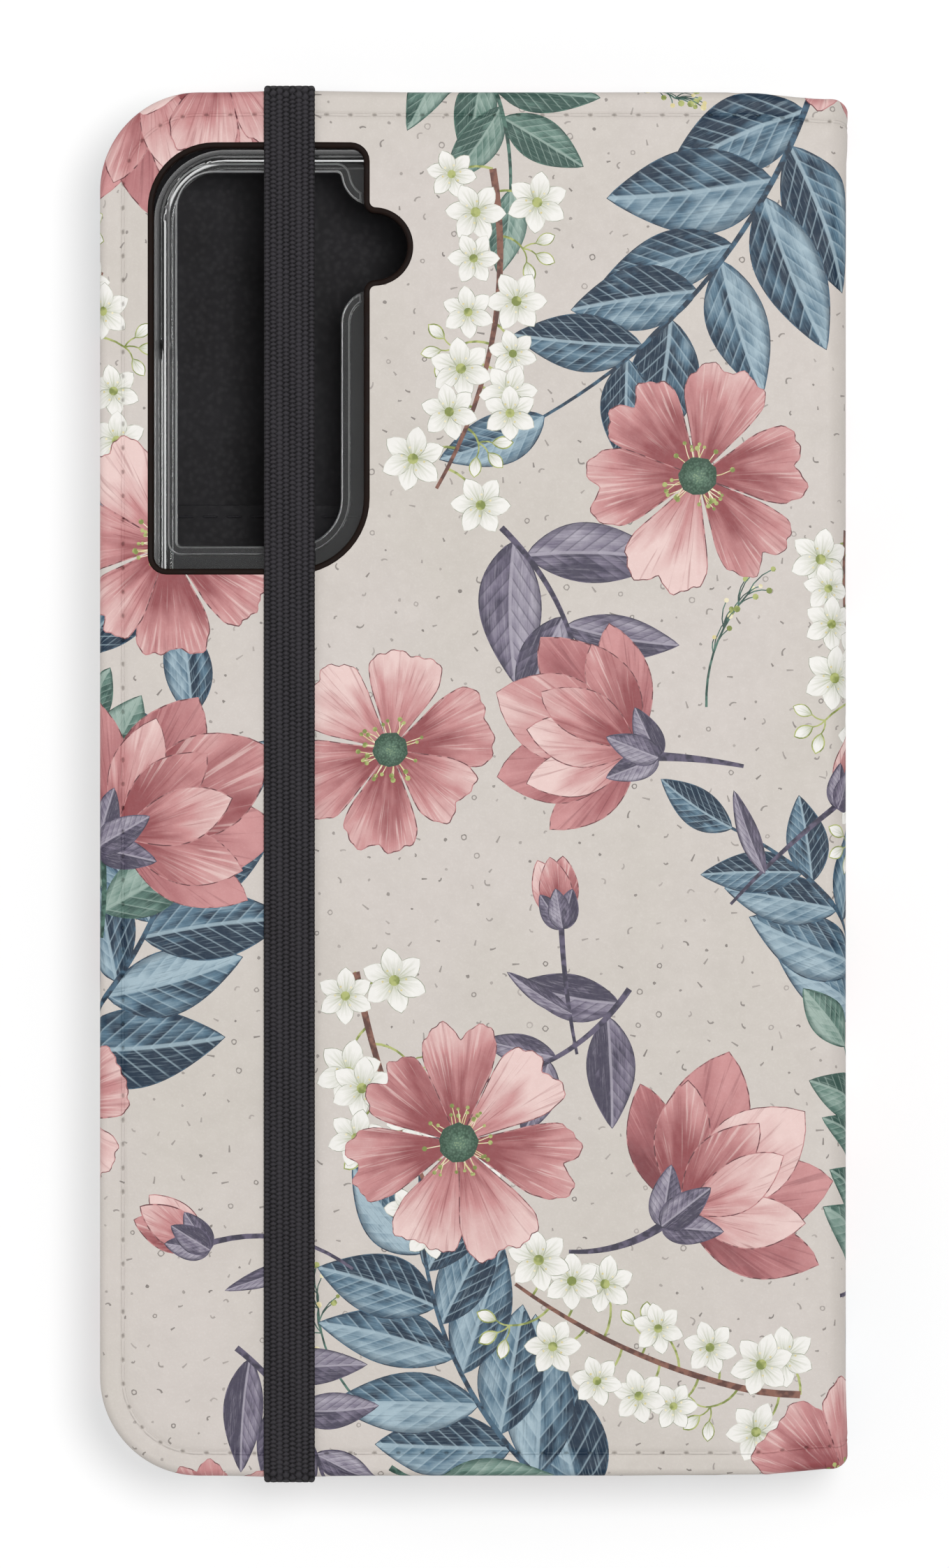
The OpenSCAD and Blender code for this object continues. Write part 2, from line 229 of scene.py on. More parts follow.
def grown(outline: Array, by: float) -> Array:
    """Moves every corner of a counter-clockwise outline outwards along its normal.

    Args:
        outline: Its corners.
        by: How far.

    Returns:
        The moved corners.
    """
    along = np.roll(outline, -1, 0) - np.roll(outline, 1, 0)
    along /= np.maximum(np.linalg.norm(along, axis=1, keepdims=True), 1e-9)
    return outline + by * np.column_stack((along[:, 1], -along[:, 0]))


def disc(radius: float, count: int = 12, wobble: float = 0.0, seed: int = 0) -> Array:
    """A round outline.

    Args:
        radius: Its radius.
        count: Number of corners.
        wobble: How far the radius wobbles, as a share of it.
        seed: Makes each one different.

    Returns:
        Its corners, counter-clockwise.
    """
    a = np.linspace(0, 2 * np.pi, count, endpoint=False)
    r = radius * (1 + wobble * np.random.default_rng(seed).uniform(-1, 1, count))
    return np.column_stack((r * np.cos(a), r * np.sin(a)))


def fan_petal(length: float, half_angle: float, notch: float, seed: int, count: int = 44) -> Array:
    """A broad petal that widens from its base at the origin to a notched, slightly ragged tip along +x.

    Args:
        length: Distance from base to tip.
        half_angle: Half the angle that it spreads over, in radians.
        notch: Depth of the notch as a share of the length.
        seed: Makes each one different.
        count: Number of corners.

    Returns:
        Its corners, counter-clockwise.
    """
    rng = np.random.default_rng(seed)
    f = np.linspace(-1, 1, count)
    r = np.clip(1 - np.abs(f) ** 3.4, 0, 1) ** 0.42
    r *= 1 - notch * np.exp(-((f / 0.16) ** 2)) + 0.022 * np.sin(f * rng.uniform(9, 14) + rng.uniform(0, 6))
    r += 0.010 * np.sin(f * rng.uniform(26, 34) + rng.uniform(0, 6))
    r = np.maximum(r * rng.uniform(0.95, 1.04), 0.04)
    a = f * half_angle * (0.62 + 0.38 * r)
    return length * np.column_stack((r * np.cos(a), r * np.sin(a)))


def blade(length: float, width: float, fat: float, sharp: float, bend: float, count: int = 21) -> Array:
    """A leaf-shaped outline from the origin to (length, bend): a sine along a midrib that is a parabola.

    Args:
        length: Distance from end to end.
        width: Width at the widest place.
        fat: Power that moves the widest place.
        sharp: Power that draws out the tips.
        bend: How far the tip is off the x axis.
        count: Number of points along each side.

    Returns:
        Its corners, counter-clockwise.
    """
    u = np.linspace(0, 1, count)
    w = np.sin(np.pi * u**fat) ** sharp * width / 2
    mid = bend * u**2
    up = np.column_stack((u * length, mid + w))
    down = np.column_stack((u * length, mid - w))
    return np.vstack((down, up[::-1][1:-1]))


def ribbon(path: Array, start: float, end: float) -> Array:
    """A strip along a path that narrows from one width to another.

    Args:
        path: Points along its middle.
        start: Width where it starts.
        end: Width where it ends.

    Returns:
        Its corners, counter-clockwise.
    """
    along = np.gradient(path, axis=0)
    along /= np.linalg.norm(along, axis=1, keepdims=True)
    side = np.column_stack((-along[:, 1], along[:, 0])) * np.linspace(start, end, len(path))[:, None] / 2
    return np.vstack((path - side, (path + side)[::-1]))


def arc_path(a: Sequence[float], b: Sequence[float], sag: float, count: int = 12) -> Array:
    """A bow between two points: the straight line plus a parabola square to it.

    Args:
        a: Where it starts.
        b: Where it ends.
        sag: Height of the bow as a share of the straight line.
        count: Number of points.

    Returns:
        The points.
    """
    a, b = np.array(a, float), np.array(b, float)
    t = np.linspace(0, 1, count)[:, None]
    d = b - a
    return a + t * d + 4 * sag * t * (1 - t) * np.array([-d[1], d[0]])


@dataclass
class Motif:
    """Something drawn at a place on the unrolled cover.

    Args:
        at: Place on the unrolled cover, in millimetres.
        turn: Direction in degrees.
        size: Length or radius in millimetres.
        seed: Makes each one different.
    """

    at: Sequence[float]
    turn: float
    size: float
    seed: int

    def __post_init__(self) -> None:
        """Turns degrees into radians and starts the motif's own chance values."""
        self.at, self.turn = np.array(self.at, float), math.radians(self.turn)
        self.rng = np.random.default_rng(self.seed)

    def patches(self) -> list[Patch]:
        """Gives the motif's patches from the lowest to the uppermost."""
        raise NotImplementedError

    def drawn(self, outline: Array, at: Sequence[float], angle: float, ink: Ink, line: Ink | None = None,
              edge: float = 0.12, scale: tuple[float, float] = (1.0, 1.0), bend: float = 0.0) -> list[Patch]:
        """Places an outline, with a slightly larger one in the line's ink below it.

        Args:
            outline: Corners round the patch's own origin.
            at: Where its origin goes.
            angle: Where its x axis goes, in radians.
            ink: What fills it.
            line: What outlines it, if anything.
            edge: Width of the outline.
            scale: Lengths of one unit of its own coordinates.
            bend: How far its midrib bends, in those units.

        Returns:
            One or two patches.
        """
        placed = turned(outline, at, angle)
        own = dict(origin=(float(at[0]), float(at[1])), angle=angle, scale=scale, bend=bend,
                   tone=float(self.rng.uniform(0, 1)))
        below = [] if line is None else [Patch(grown(placed, edge * self.rng.uniform(0.8, 1.25)), line, **own)]
        return below + [Patch(placed, ink, **own)]

    def stroke(self, path: Array, start: float, end: float, ink: Ink) -> list[Patch]:
        """A line along a path that narrows from one width to another."""
        return self.drawn(ribbon(path, start, end), (0, 0), 0, ink)

    def stem(self, sag: float, count: int) -> Array:
        """A bowed path from the motif's place, in its direction and as long as it is."""
        return arc_path(self.at, self.at + ray(self.turn, self.size), sag, count)

    def leaf(self, at: Sequence[float], angle: float, length: float, width: float, ink: Ink,
             line: Ink) -> list[Patch]:
        """One leaf with its lower end at a point.

        Args:
            at: Where its lower end is.
            angle: Its direction in radians.
            length: Distance from end to end.
            width: Width at the widest place.
            ink: What fills it.
            line: What outlines it.

        Returns:
            Its two patches.
        """
        bend = self.rng.uniform(-0.16, 0.16) * length
        return self.drawn(blade(length, width, LEAF_FAT, LEAF_SHARP, bend), at, angle, ink, line,
                          scale=(length, width / 2), bend=bend / (width / 2))


class Rosette(Motif):
    """A wide open flower seen from the front, with notched petals and a ring of stamens."""

    def patches(self) -> list[Patch]:
        """Lays every other petal first, then the ones between, the stamens and the heart.

        Returns:
            The patches, from the lowest to the uppermost.
        """
        rng, size, out = self.rng, self.size, []
        count = int(rng.integers(6, 8))
        for k in (*range(0, count, 2), *range(1, count, 2)):
            angle = self.turn + 2 * np.pi * k / count + rng.uniform(-0.07, 0.07)
            length = size * rng.uniform(0.93, 1.05)
            half = np.pi / count * rng.uniform(1.16, 1.3)
            out += self.drawn(fan_petal(length, half, rng.uniform(0.04, 0.13), int(rng.integers(1e6))),
                              self.at, angle, Ink.ROSE, Ink.ROSE_LINE, scale=(length, length))
        heart = size * 0.17
        for k in range(26):
            angle = rng.uniform(0, 2 * np.pi)
            reach = heart * rng.uniform(1.35, 1.95)
            tip = self.at + ray(angle, reach)
            out += self.stroke(arc_path(self.at, tip, rng.uniform(-0.1, 0.1), 4), 0.12, 0.1, Ink.STAMEN)
            out += self.drawn(disc(rng.uniform(0.2, 0.32), 7), tip, angle, Ink.LIME)
        out += self.drawn(disc(heart, 22, 0.06, 1), self.at, self.turn, Ink.HEART, scale=(heart, heart))
        return out


class Goblet(Motif):
    """A half-open flower seen from the side, with pointed petals above a mauve calyx and stalk."""

    #: each petal's direction, length and width as a share of it, and ink, from the rearmost to the foremost
    PETALS = (
        (1.25, 0.86, 0.4, Ink.ROSE_DEEP), (-1.2, 0.9, 0.4, Ink.ROSE_DEEP), (0.62, 1.0, 0.5, Ink.ROSE_DEEP),
        (-0.58, 1.0, 0.5, Ink.ROSE_DEEP), (0.0, 1.02, 0.56, Ink.ROSE), (0.92, 0.78, 0.42, Ink.ROSE),
        (-0.9, 0.8, 0.42, Ink.ROSE), (0.34, 0.76, 0.44, Ink.ROSE), (-0.32, 0.74, 0.44, Ink.ROSE),
    )

    def patches(self) -> list[Patch]:
        """Lays the stalk first, then the petals and the calyx.

        Returns:
            The patches, from the lowest to the uppermost.
        """
        rng, size, back = self.rng, self.size, -ray(self.turn)
        foot = self.at + back * size * 0.12
        end = foot + ray(self.turn + rng.uniform(-0.5, 0.5), -size * 0.62)
        out = self.stroke(arc_path(end, foot, rng.uniform(-0.18, 0.18)), 0.45, 1.1, Ink.MAUVE_LINE)
        for spread, reach, wide, ink in self.PETALS:
            angle = self.turn + spread * rng.uniform(0.85, 1.1)
            length = size * reach * rng.uniform(0.92, 1.06)
            bend = -0.14 * length * np.sign(spread) * rng.uniform(0.4, 1.2)
            out += self.drawn(blade(length, length * wide, 1.22, 0.8, bend, 15), self.at, angle, ink, Ink.ROSE_LINE,
                              scale=(length, length))
        cup = size * 0.2
        for spread in (0.75, -0.75, 0.0):
            out += self.drawn(blade(cup * 1.9, cup * 0.95, 0.7, 0.8, 0), self.at + back * cup * 0.75,
                              self.turn + spread, Ink.MAUVE, Ink.MAUVE_LINE, scale=(cup * 1.9, cup * 0.5))
        return out


class Bud(Motif):
    """A closed flower with a calyx on a bowed stalk."""

    def patches(self) -> list[Patch]:
        """Lays the stalk and its leaf first, then the petals and the calyx.

        Returns:
            The patches, from the lowest to the uppermost.
        """
        rng, size = self.rng, self.size
        end = self.at - ray(self.turn + rng.uniform(-0.5, 0.5), size * 2.1)
        out = self.stroke(arc_path(end, self.at, rng.uniform(-0.15, 0.15)), 0.35, 0.7, Ink.MAUVE_LINE)
        out += self.leaf(end + (self.at - end) * 0.3, self.turn + 0.9, size * 1.2, size * 0.26, Ink.MAUVE,
                         Ink.MAUVE_LINE)
        for spread in (0.2, -0.2, 0.0):
            out += self.drawn(blade(size, size * 0.5, 0.9, 0.8, 0), self.at, self.turn + spread, Ink.ROSE,
                              Ink.ROSE_LINE, scale=(size, size))
        foot = self.at - ray(self.turn, 0.12 * size)
        for spread in (0.42, -0.42, 0.0):
            out += self.drawn(blade(size * 0.62, size * 0.34, 0.75, 0.8, 0), foot, self.turn + spread, Ink.MAUVE,
                              Ink.MAUVE_LINE, scale=(size * 0.62, size * 0.17))
        return out


@dataclass
class LeafSpray(Motif):
    """A bowed stem with leaves on both sides and one at its tip.

    Args:
        ink: What fills the leaves.
        line: What outlines them and colours the stem.
        longest: Length of its longest leaf in millimetres.
        slim: Width of a leaf as a share of its length.
        pairs: How many places on the stem bear leaves.
        sag: How far the stem bows.
    """

    ink: Ink = Ink.BLUE
    line: Ink = Ink.BLUE_LINE
    longest: float = 17.0
    slim: float = 0.46
    pairs: int = 5
    sag: float = 0.12

    def patches(self) -> list[Patch]:
        """Lays the leaves from the foot to the tip and the stem over them.

        Returns:
            The patches, from the lowest to the uppermost.
        """
        rng, out, path = self.rng, [], self.stem(self.sag, 24)
        heading = np.arctan2(*np.gradient(path, axis=0).T[::-1])
        for k in range(self.pairs):
            share = 0.1 + 0.8 * k / self.pairs
            for side in (1, -1):
                i = int(round((share + (0.06 if side > 0 else 0)) * (len(path) - 1)))
                length = self.longest * (1 - 0.42 * share) * rng.uniform(0.86, 1.08)
                angle = heading[i] + side * (0.95 - 0.3 * share) * rng.uniform(0.85, 1.15)
                out += self.leaf(path[i], angle, length, length * self.slim * rng.uniform(0.88, 1.12), self.ink,
                                 self.line)
        last = self.longest * 0.62
        out += self.leaf(path[-1], heading[-1], last, last * self.slim, self.ink, self.line)
        return out + self.stroke(path, 0.75, 0.35, self.line)


class StarCluster(Motif):
    """Small white six-pointed flowers and green buds along a brown twig."""

    def patches(self) -> list[Patch]:
        """Lays the small stalks and the twig first, then the buds and the flowers.

        Returns:
            The patches, from the lowest to the uppermost.
        """
        rng, out, heads, buds = self.rng, [], [], []
        path = self.stem(rng.uniform(-0.16, 0.16), 16)
        count = max(3, int(self.size / 2.3))
        for k in range(count):
            i = int((k + 0.6) / count * (len(path) - 1))
            side = 1 if k % 2 else -1
            reach = rng.uniform(2.2, 6.6)
            angle = self.turn + side * rng.uniform(0.7, 1.5)
            head = path[i] + ray(angle, reach)
            out += self.stroke(arc_path(path[i], head, 0.12 * side, 6), 0.3, 0.22, Ink.LIME)
            (buds if k % 5 == 3 else heads).append((head, angle))
        out += self.stroke(path, 0.85, 0.4, Ink.TWIG)
        for head, angle in buds:
            for a in (angle - 0.8, angle + 0.1, angle + 0.9):
                foot = head + ray(a, 1.7)
                out += self.stroke(arc_path(head, foot, 0.1, 4), 0.2, 0.16, Ink.LIME)
                out += self.drawn(blade(2.3, 1.25, 1.1, 0.8, 0, 7), foot, a, Ink.WHITE, Ink.LIME, 0.14, (2.3, 2.3))
        for head, angle in heads:
            out += self.flower(head, rng.uniform(2.8, 3.9))
        return out

    def flower(self, at: Array, radius: float) -> list[Patch]:
        """One flower head: every other petal, the ones between, the stamens and the middle.

        Args:
            at: Its middle.
            radius: Length of a petal.

        Returns:
            Its patches.
        """
        rng, out, start = self.rng, [], self.rng.uniform(0, 1)
        for k in (0, 2, 4, 1, 3, 5):
            out += self.drawn(blade(radius, radius * 0.62, 1.05, 0.72, 0.08 * radius, 9), at,
                              start + k * np.pi / 3 + rng.uniform(-0.06, 0.06), Ink.WHITE, Ink.WHITE_LINE, 0.07,
                              (radius, radius))
        for k in range(6):
            a = start + (k + 0.5) * np.pi / 3
            out += self.drawn(disc(0.14, 6), at + ray(a, radius * 0.36), a, Ink.STAMEN)
        return out + self.drawn(disc(radius * 0.17, 9), at, 0, Ink.LIME)


class Sprig(Motif):
    """A thin branched stem with tiny round flowers."""

    def patches(self) -> list[Patch]:
        """Lays the stem first, then each branch with its flower.

        Returns:
            The patches, from the lowest to the uppermost.
        """
        rng, path = self.rng, self.stem(0.1, 10)
        out = self.stroke(path, 0.3, 0.2, Ink.SAGE_LINE)
        for k in range(14):
            i = int(rng.integers(4, 10))
            a = self.turn + rng.uniform(-1.1, 1.1)
            end = path[i] + ray(a, rng.uniform(0.12, 0.34) * self.size)
            out += self.stroke(arc_path(path[i], end, 0.1, 4), 0.16, 0.12, Ink.SAGE_LINE)
            out += self.drawn(disc(rng.uniform(0.25, 0.42), 7), end, a, Ink.LIME if k % 3 else Ink.STAMEN)
        return out


@dataclass
class Artwork:
    """The whole print on the unrolled cover: flecked ground, then leaves, clusters and large flowers.

    The unrolled cover starts at the back cover's fore-edge and ends at the front cover's. The pattern repeats
    sideways, one step lower each time, as on a printed roll.
    """

    REPEAT = (96.0, -46.0)
    HEIGHT = 176.0

    width: float
    height: float

    def __post_init__(self) -> None:
        """Draws the motifs of one repeat."""
        self.motifs = [motif.patches() for motif in self.tile()]

    @staticmethod
    def tile() -> list[Motif]:
        """Lays out one repeat.

        Returns:
            Its motifs, from the lowest layer to the uppermost.
        """
        sage = dict(ink=Ink.SAGE, line=Ink.SAGE_LINE)
        mauve = dict(ink=Ink.MAUVE, line=Ink.MAUVE_LINE)
        return [
            Sprig((71, 9), 70, 14, 901),
            Sprig((30, -72), 110, 13, 902),
            Sprig((57, 84), -20, 11, 903),
            LeafSpray((84, 84), -128, 52, 11, longest=21, slim=0.46, pairs=5, sag=0.1),
            LeafSpray((-8, -34), 66, 46, 12, longest=20, slim=0.44, pairs=5, sag=-0.12),
            LeafSpray((60, -88), 118, 48, 13, longest=20, slim=0.46, pairs=6, sag=0.14),
            LeafSpray((92, -34), 122, 34, 18, longest=16, slim=0.44, pairs=4, sag=-0.16),
            LeafSpray((34, 96), -62, 30, 19, longest=16, slim=0.42, pairs=4, sag=0.14, **sage),
            LeafSpray((96, -64), 104, 34, 14, longest=14, slim=0.5, pairs=4, sag=-0.1, **sage),
            LeafSpray((47, 30), -66, 24, 15, longest=17, slim=0.44, pairs=2, sag=0.1, **mauve),
            LeafSpray((16, -66), -60, 22, 16, longest=13, slim=0.38, pairs=3, sag=0.1, **mauve),
            LeafSpray((62, -24), -150, 22, 17, longest=13, slim=0.42, pairs=2, sag=0.12, **mauve),
            StarCluster((46, 72), -100, 38, 21),
            StarCluster((30, -22), -70, 32, 22),
            StarCluster((82, -72), 158, 36, 23),
            StarCluster((88, 30), -84, 22, 24),
            StarCluster((0, 60), -92, 24, 25),
            Bud((12, -54), 148, 8.5, 31),
            Bud((87, -2), 62, 8.5, 32),
            Bud((54, -16), 100, 7.5, 33),
            Goblet((6, 84), -58, 19, 41),
            Goblet((63, 4), 158, 17, 42),
            Goblet((2, -6), 30, 19, 43),
            Goblet((68, -50), 38, 19, 44),
            Rosette((70, 36), 10, 13.2, 51),
            Rosette((42, -42), 40, 13.6, 52),
            Rosette((8, 28), 70, 12.6, 53),
            Rosette((34, 4), 20, 12.0, 56),
            Rosette((88, -84), 20, 12.8, 54),
            Rosette((14, -90), 0, 12.0, 55),
        ]

    def patches(self, low: float, high: float) -> list[Patch]:
        """Gives the patches that touch a band of the unrolled cover, from the lowest to the uppermost.

        Args:
            low: Where the band starts.
            high: Where it ends.

        Returns:
            The flecks, then every repeat's motifs.
        """
        out, half = self.flecks(low, high), self.height / 2
        steps = [(i * self.REPEAT[0], i * self.REPEAT[1] + j * self.HEIGHT) for i in range(-1, 4) for j in range(-2, 4)]

        def touches(outline: Array) -> bool:
            """Whether an outline reaches into the band."""
            (left, foot), (right, top) = outline.min(0), outline.max(0)
            return right > low and left < high and top > -half and foot < half

        for patches in self.motifs:
            points = np.vstack([patch.outline for patch in patches])
            for step in steps:
                if touches(points + step):
                    out += [self.moved(patch, *step) for patch in patches]
        return [patch for patch in out if touches(patch.outline)]

    @staticmethod
    def moved(patch: Patch, dx: float, dy: float) -> Patch:
        """A copy of a patch somewhere else."""
        return replace(patch, outline=patch.outline + (dx, dy), origin=(patch.origin[0] + dx, patch.origin[1] + dy))

    def flecks(self, low: float, high: float) -> list[Patch]:
        """Sparse dots, fibres, hooks and rings, as in recycled paper, over the whole ground.

        Args:
            low: Where the band starts that is wanted.
            high: Where it ends.

        Returns:
            One or two patches for each cell of a jittered grid.
        """
        rng, out = np.random.default_rng(77), []
        cell = 3.1
        for i in range(int(self.width / cell) + 2):
            for j in range(int(self.height / cell) + 1):
                x, y = (i - 0.5 + rng.uniform(0.1, 0.9)) * cell, (j + rng.uniform(0.1, 0.9)) * cell - self.height / 2
                at = np.array([x, y])
                kind, angle, length, tone = rng.uniform((0, 0, 0.35, 0), (1, np.pi, 0.95, 1))
                if not low - 1 < at[0] < high + 1 or kind > 0.95:
                    continue
                if kind > 0.83:
                    radius = 0.2 + 0.22 * length
                    out += [Patch(disc(radius, 10, 0.12, i + 91 * j) + at, Ink.FLECK, tone=tone),
                            Patch(disc(radius - 0.14, 8) + at, Ink.GROUND)]
                elif kind > 0.6:
                    out.append(Patch(disc(0.1 + 0.12 * length, 7, 0.3, i + 91 * j) + at, Ink.FLECK, tone=tone))
                else:
                    d = ray(angle, length / 2)
                    bow = rng.uniform(-0.9, 0.9) if kind > 0.25 else 0.0
                    path = arc_path(at - d, at + d, bow / 2, 6 if bow else 3)
                    out.append(Patch(ribbon(path, 0.24, 0.13), Ink.FLECK, tone=tone))
        return out
# --- Geometry kit ---


def arc(centre: Sequence[float], radius: float, start: float, end: float, count: int) -> Array:
    """Points on an arc from one angle to another, in degrees, both ends included."""
    a = np.radians(np.linspace(start, end, count))
    return np.array(centre, float) + radius * np.column_stack((np.cos(a), np.sin(a)))


def smooth(x: Array) -> Array:
    """Eases from 0 to 1 as x goes from 0 to 1."""
    x = np.clip(x, 0, 1)
    return x * x * (3 - 2 * x)


def window_path(sizes: CaseSizes, inset: float = 0.0, step: int = 14) -> Array:
    """The camera window's outline with its flash lobe, counter-clockwise from the foot of its right side.

    Args:
        sizes: The case's sizes.
        inset: How far inside the window it runs.
        step: Number of points on a quarter of a large corner.

    Returns:
        Its corners.
    """
    left, right = sizes.window_left + inset, sizes.window_right - inset
    top, foot = sizes.window_top - inset, sizes.window_foot + inset
    r_top, r_foot, small = sizes.window_r_top - inset, sizes.window_r_foot - inset, sizes.window_r_small - inset
    lobe, fillet = sizes.flash_r - inset, sizes.window_fillet + inset
    flash = np.array([sizes.window_right + sizes.flash_out, sizes.window_top - sizes.flash_drop])
    out = flash[0] - right
    rise = math.sqrt((lobe + fillet) ** 2 - (fillet - out) ** 2)
    lean = math.degrees(math.atan2(rise, fillet - out))
    return np.vstack((
        arc((right + fillet, flash[1] - rise), fillet, 180, 180 - lean, step // 2),
        arc(flash, lobe, -lean, lean, 3 * step)[1:-1],
        arc((right + fillet, flash[1] + rise), fillet, 180 + lean, 180, step // 2),
        arc((right - small, top - small), small, 0, 90, step // 2),
        arc((left + r_top, top - r_top), r_top, 90, 180, step),
        arc((left + small, foot + small), small, 180, 270, step // 2),
        arc((right - r_foot, foot + r_foot), r_foot, 270, 360, step),
    ))


def metres(*place: float) -> tuple[float, ...]:
    """Turns millimetres into metres."""
    return tuple(p * MM for p in place)


def linked(name: str, data: ID) -> Object:
    """Puts something into the scene.

    Args:
        name: Its name.
        data: A mesh, a light or a camera.

    Returns:
        The object.
    """
    obj = bpy.data.objects.new(name, data)
    bpy.context.scene.collection.objects.link(obj)
    return obj


def make_object(name: str, points: Array, *faces: Array) -> Object:
    """Makes a mesh object.

    Args:
        name: Name of the piece.
        points: Points in millimetres.
        faces: Arrays of faces by their points' numbers, each array with one corner count.

    Returns:
        The object, smooth and in the scene.
    """
    mesh = bpy.data.meshes.new(name)
    corners = np.concatenate([group.ravel() for group in faces]).astype(np.int32)
    sizes = np.concatenate([np.full(len(group), group.shape[1]) for group in faces])
    mesh.vertices.add(len(points))
    mesh.vertices.foreach_set("co", (np.asarray(points, np.float64) * MM).astype(np.float32).ravel())
    mesh.loops.add(len(corners))
    mesh.loops.foreach_set("vertex_index", corners)
    mesh.polygons.add(len(sizes))
    mesh.polygons.foreach_set("loop_start", (np.cumsum(sizes) - sizes).astype(np.int32))
    mesh.polygons.foreach_set("use_smooth", np.ones(len(sizes), bool))
    mesh.update(calc_edges=True)
    mesh.validate()
    return linked(name, mesh)


def grid_faces(rows: int, columns: int, wrap_rows: bool = False, wrap_columns: bool = False) -> Array:
    """Quads of a grid whose points are stored row by row.

    Args:
        rows: Number of points along the first direction.
        columns: Number of points along the second.
        wrap_rows: Whether the last row meets the first.
        wrap_columns: Whether the last column meets the first.

    Returns:
        Four points' numbers for each quad.
    """
    i = np.arange(rows if wrap_rows else rows - 1)
    j = np.arange(columns if wrap_columns else columns - 1)
    i, j = (g.ravel() for g in np.meshgrid(i, j, indexing="ij"))
    i2, j2 = (i + 1) % rows, (j + 1) % columns
    return np.column_stack((i * columns + j, i2 * columns + j, i2 * columns + j2, i * columns + j2))


def add_uv(obj: Object, uv: Array) -> None:
    """Stores the object's own coordinates.

    Args:
        obj: The object.
        uv: One (u, v) per point.
    """
    loops = np.empty(len(obj.data.loops), np.int32)
    obj.data.loops.foreach_get("vertex_index", loops)
    add_corner_uv(obj, uv[loops])


def add_corner_uv(obj: Object, uv: Array) -> None:
    """Stores one (u, v) per face corner as the object's own coordinates."""
    obj.data.uv_layers.new(name="own").data.foreach_set("uv", uv.astype(np.float32).ravel())


def add_float(obj: Object, name: str, values: Array) -> None:
    """Stores one number per point."""
    obj.data.attributes.new(name, "FLOAT", "POINT").data.foreach_set("value", np.asarray(values, np.float32))


def sewn(across: Array, along: Array, pitch: float) -> tuple[Array, Array]:
    """The relief of a lock-stitched seam that the print runs over.

    Args:
        across: Distance from the seam's middle.
        along: Length along the seam.
        pitch: Distance from stitch to stitch.

    Returns:
        The height above the flat face, and how far each point lies in a needle hole, from 0 to 1.
    """
    groove = -0.12 * np.exp(-((across / 0.26) ** 2)) - 0.035 * np.exp(-((across / 0.8) ** 2))
    phase = along / pitch
    phase = 2 * np.abs(phase - np.floor(phase) - 0.5)
    thread = 0.15 * np.sqrt(np.clip(1 - (across / 0.2) ** 2, 0, 1)) * np.clip(1 - (phase / 0.86) ** 8, 0, 1)
    hole = np.exp(-((across / 0.15) ** 2)) * smooth((phase - 0.80) / 0.14)
    return groove + thread - 0.16 * hole, hole


#: distances from a seam's middle of the lines on which its relief bends, and half the width that its thread takes
SEAM_LINES = (-0.9, -0.3, -0.18, 0.0, 0.18, 0.3, 0.9)
THREAD_REACH = 0.26
#: where a stitch rises, lies and ends, as shares of the pitch
STITCH_SHARES = np.array([0, 0.06, 0.13, 0.24, 0.5, 0.76, 0.87, 0.94])


class PlanarMap:
    """Cuts a flat region into triangles, each of which lies in just one patch of the print.

    Args:
        border: The region's outline, counter-clockwise.
        patches: The print, from the lowest patch to the uppermost.
        lines: Further lines that the triangles' sides follow, such as bends.
    """

    def __init__(self, border: Array, patches: Sequence[Patch], lines: Sequence[Array]) -> None:
        """Triangulates all outlines at once and gives each triangle to its uppermost patch."""
        self.patches = [Patch(border, Ink.GROUND), *patches]
        outlines = [patch.outline for patch in self.patches]
        starts = np.cumsum([0, *map(len, outlines), *map(len, lines)]).tolist()
        faces = [list(range(start, start + len(outline))) for start, outline in zip(starts, outlines)]
        edges = [(start + i, start + i + 1) for start, line in zip(starts[len(outlines):], lines)
                 for i in range(len(line) - 1)]
        coords = [Vector(p) for p in np.vstack([*outlines, *lines]).tolist()]
        points, _, triangles, _, _, sources = delaunay_2d_cdt(coords, edges, faces, 1, 1e-5, True)
        kept = [(corners, max(found)) for corners, found in zip(triangles, sources)
                if 0 in found and self.patches[max(found)].ink is not Ink.CUT]
        used, corners = np.unique(np.array([corners for corners, _ in kept]), return_inverse=True)
        self.points = np.array([tuple(v) for v in points], float)[used]
        self.triangles = corners.reshape(-1, 3).astype(np.int32)
        self.owners = np.array([owner for _, owner in kept], np.int32)
        log.info("planar map: %d patches, %d triangles", len(patches), len(kept))

    def local_coordinates(self) -> Array:
        """Turns the triangles' corners into their own patch's coordinates.

        Returns:
            One (u, v) per corner.
        """
        frames = np.array([(*p.origin, math.cos(p.angle), math.sin(p.angle), *p.scale) for p in self.patches])
        ox, oy, c, s, su, sv = frames[self.owners][:, None, :].transpose(2, 0, 1)
        d = self.points[self.triangles] - np.stack((ox, oy), -1)
        return np.stack(((d[..., 0] * c + d[..., 1] * s) / su, (d[..., 1] * c - d[..., 0] * s) / sv), -1)

    def corner_values(self, read: Callable[[Patch], tuple[float, float, float]]) -> Array:
        """Gives three numbers of its patch for every triangle corner."""
        return np.repeat(np.array([read(p) for p in self.patches])[self.owners], 3, axis=0)


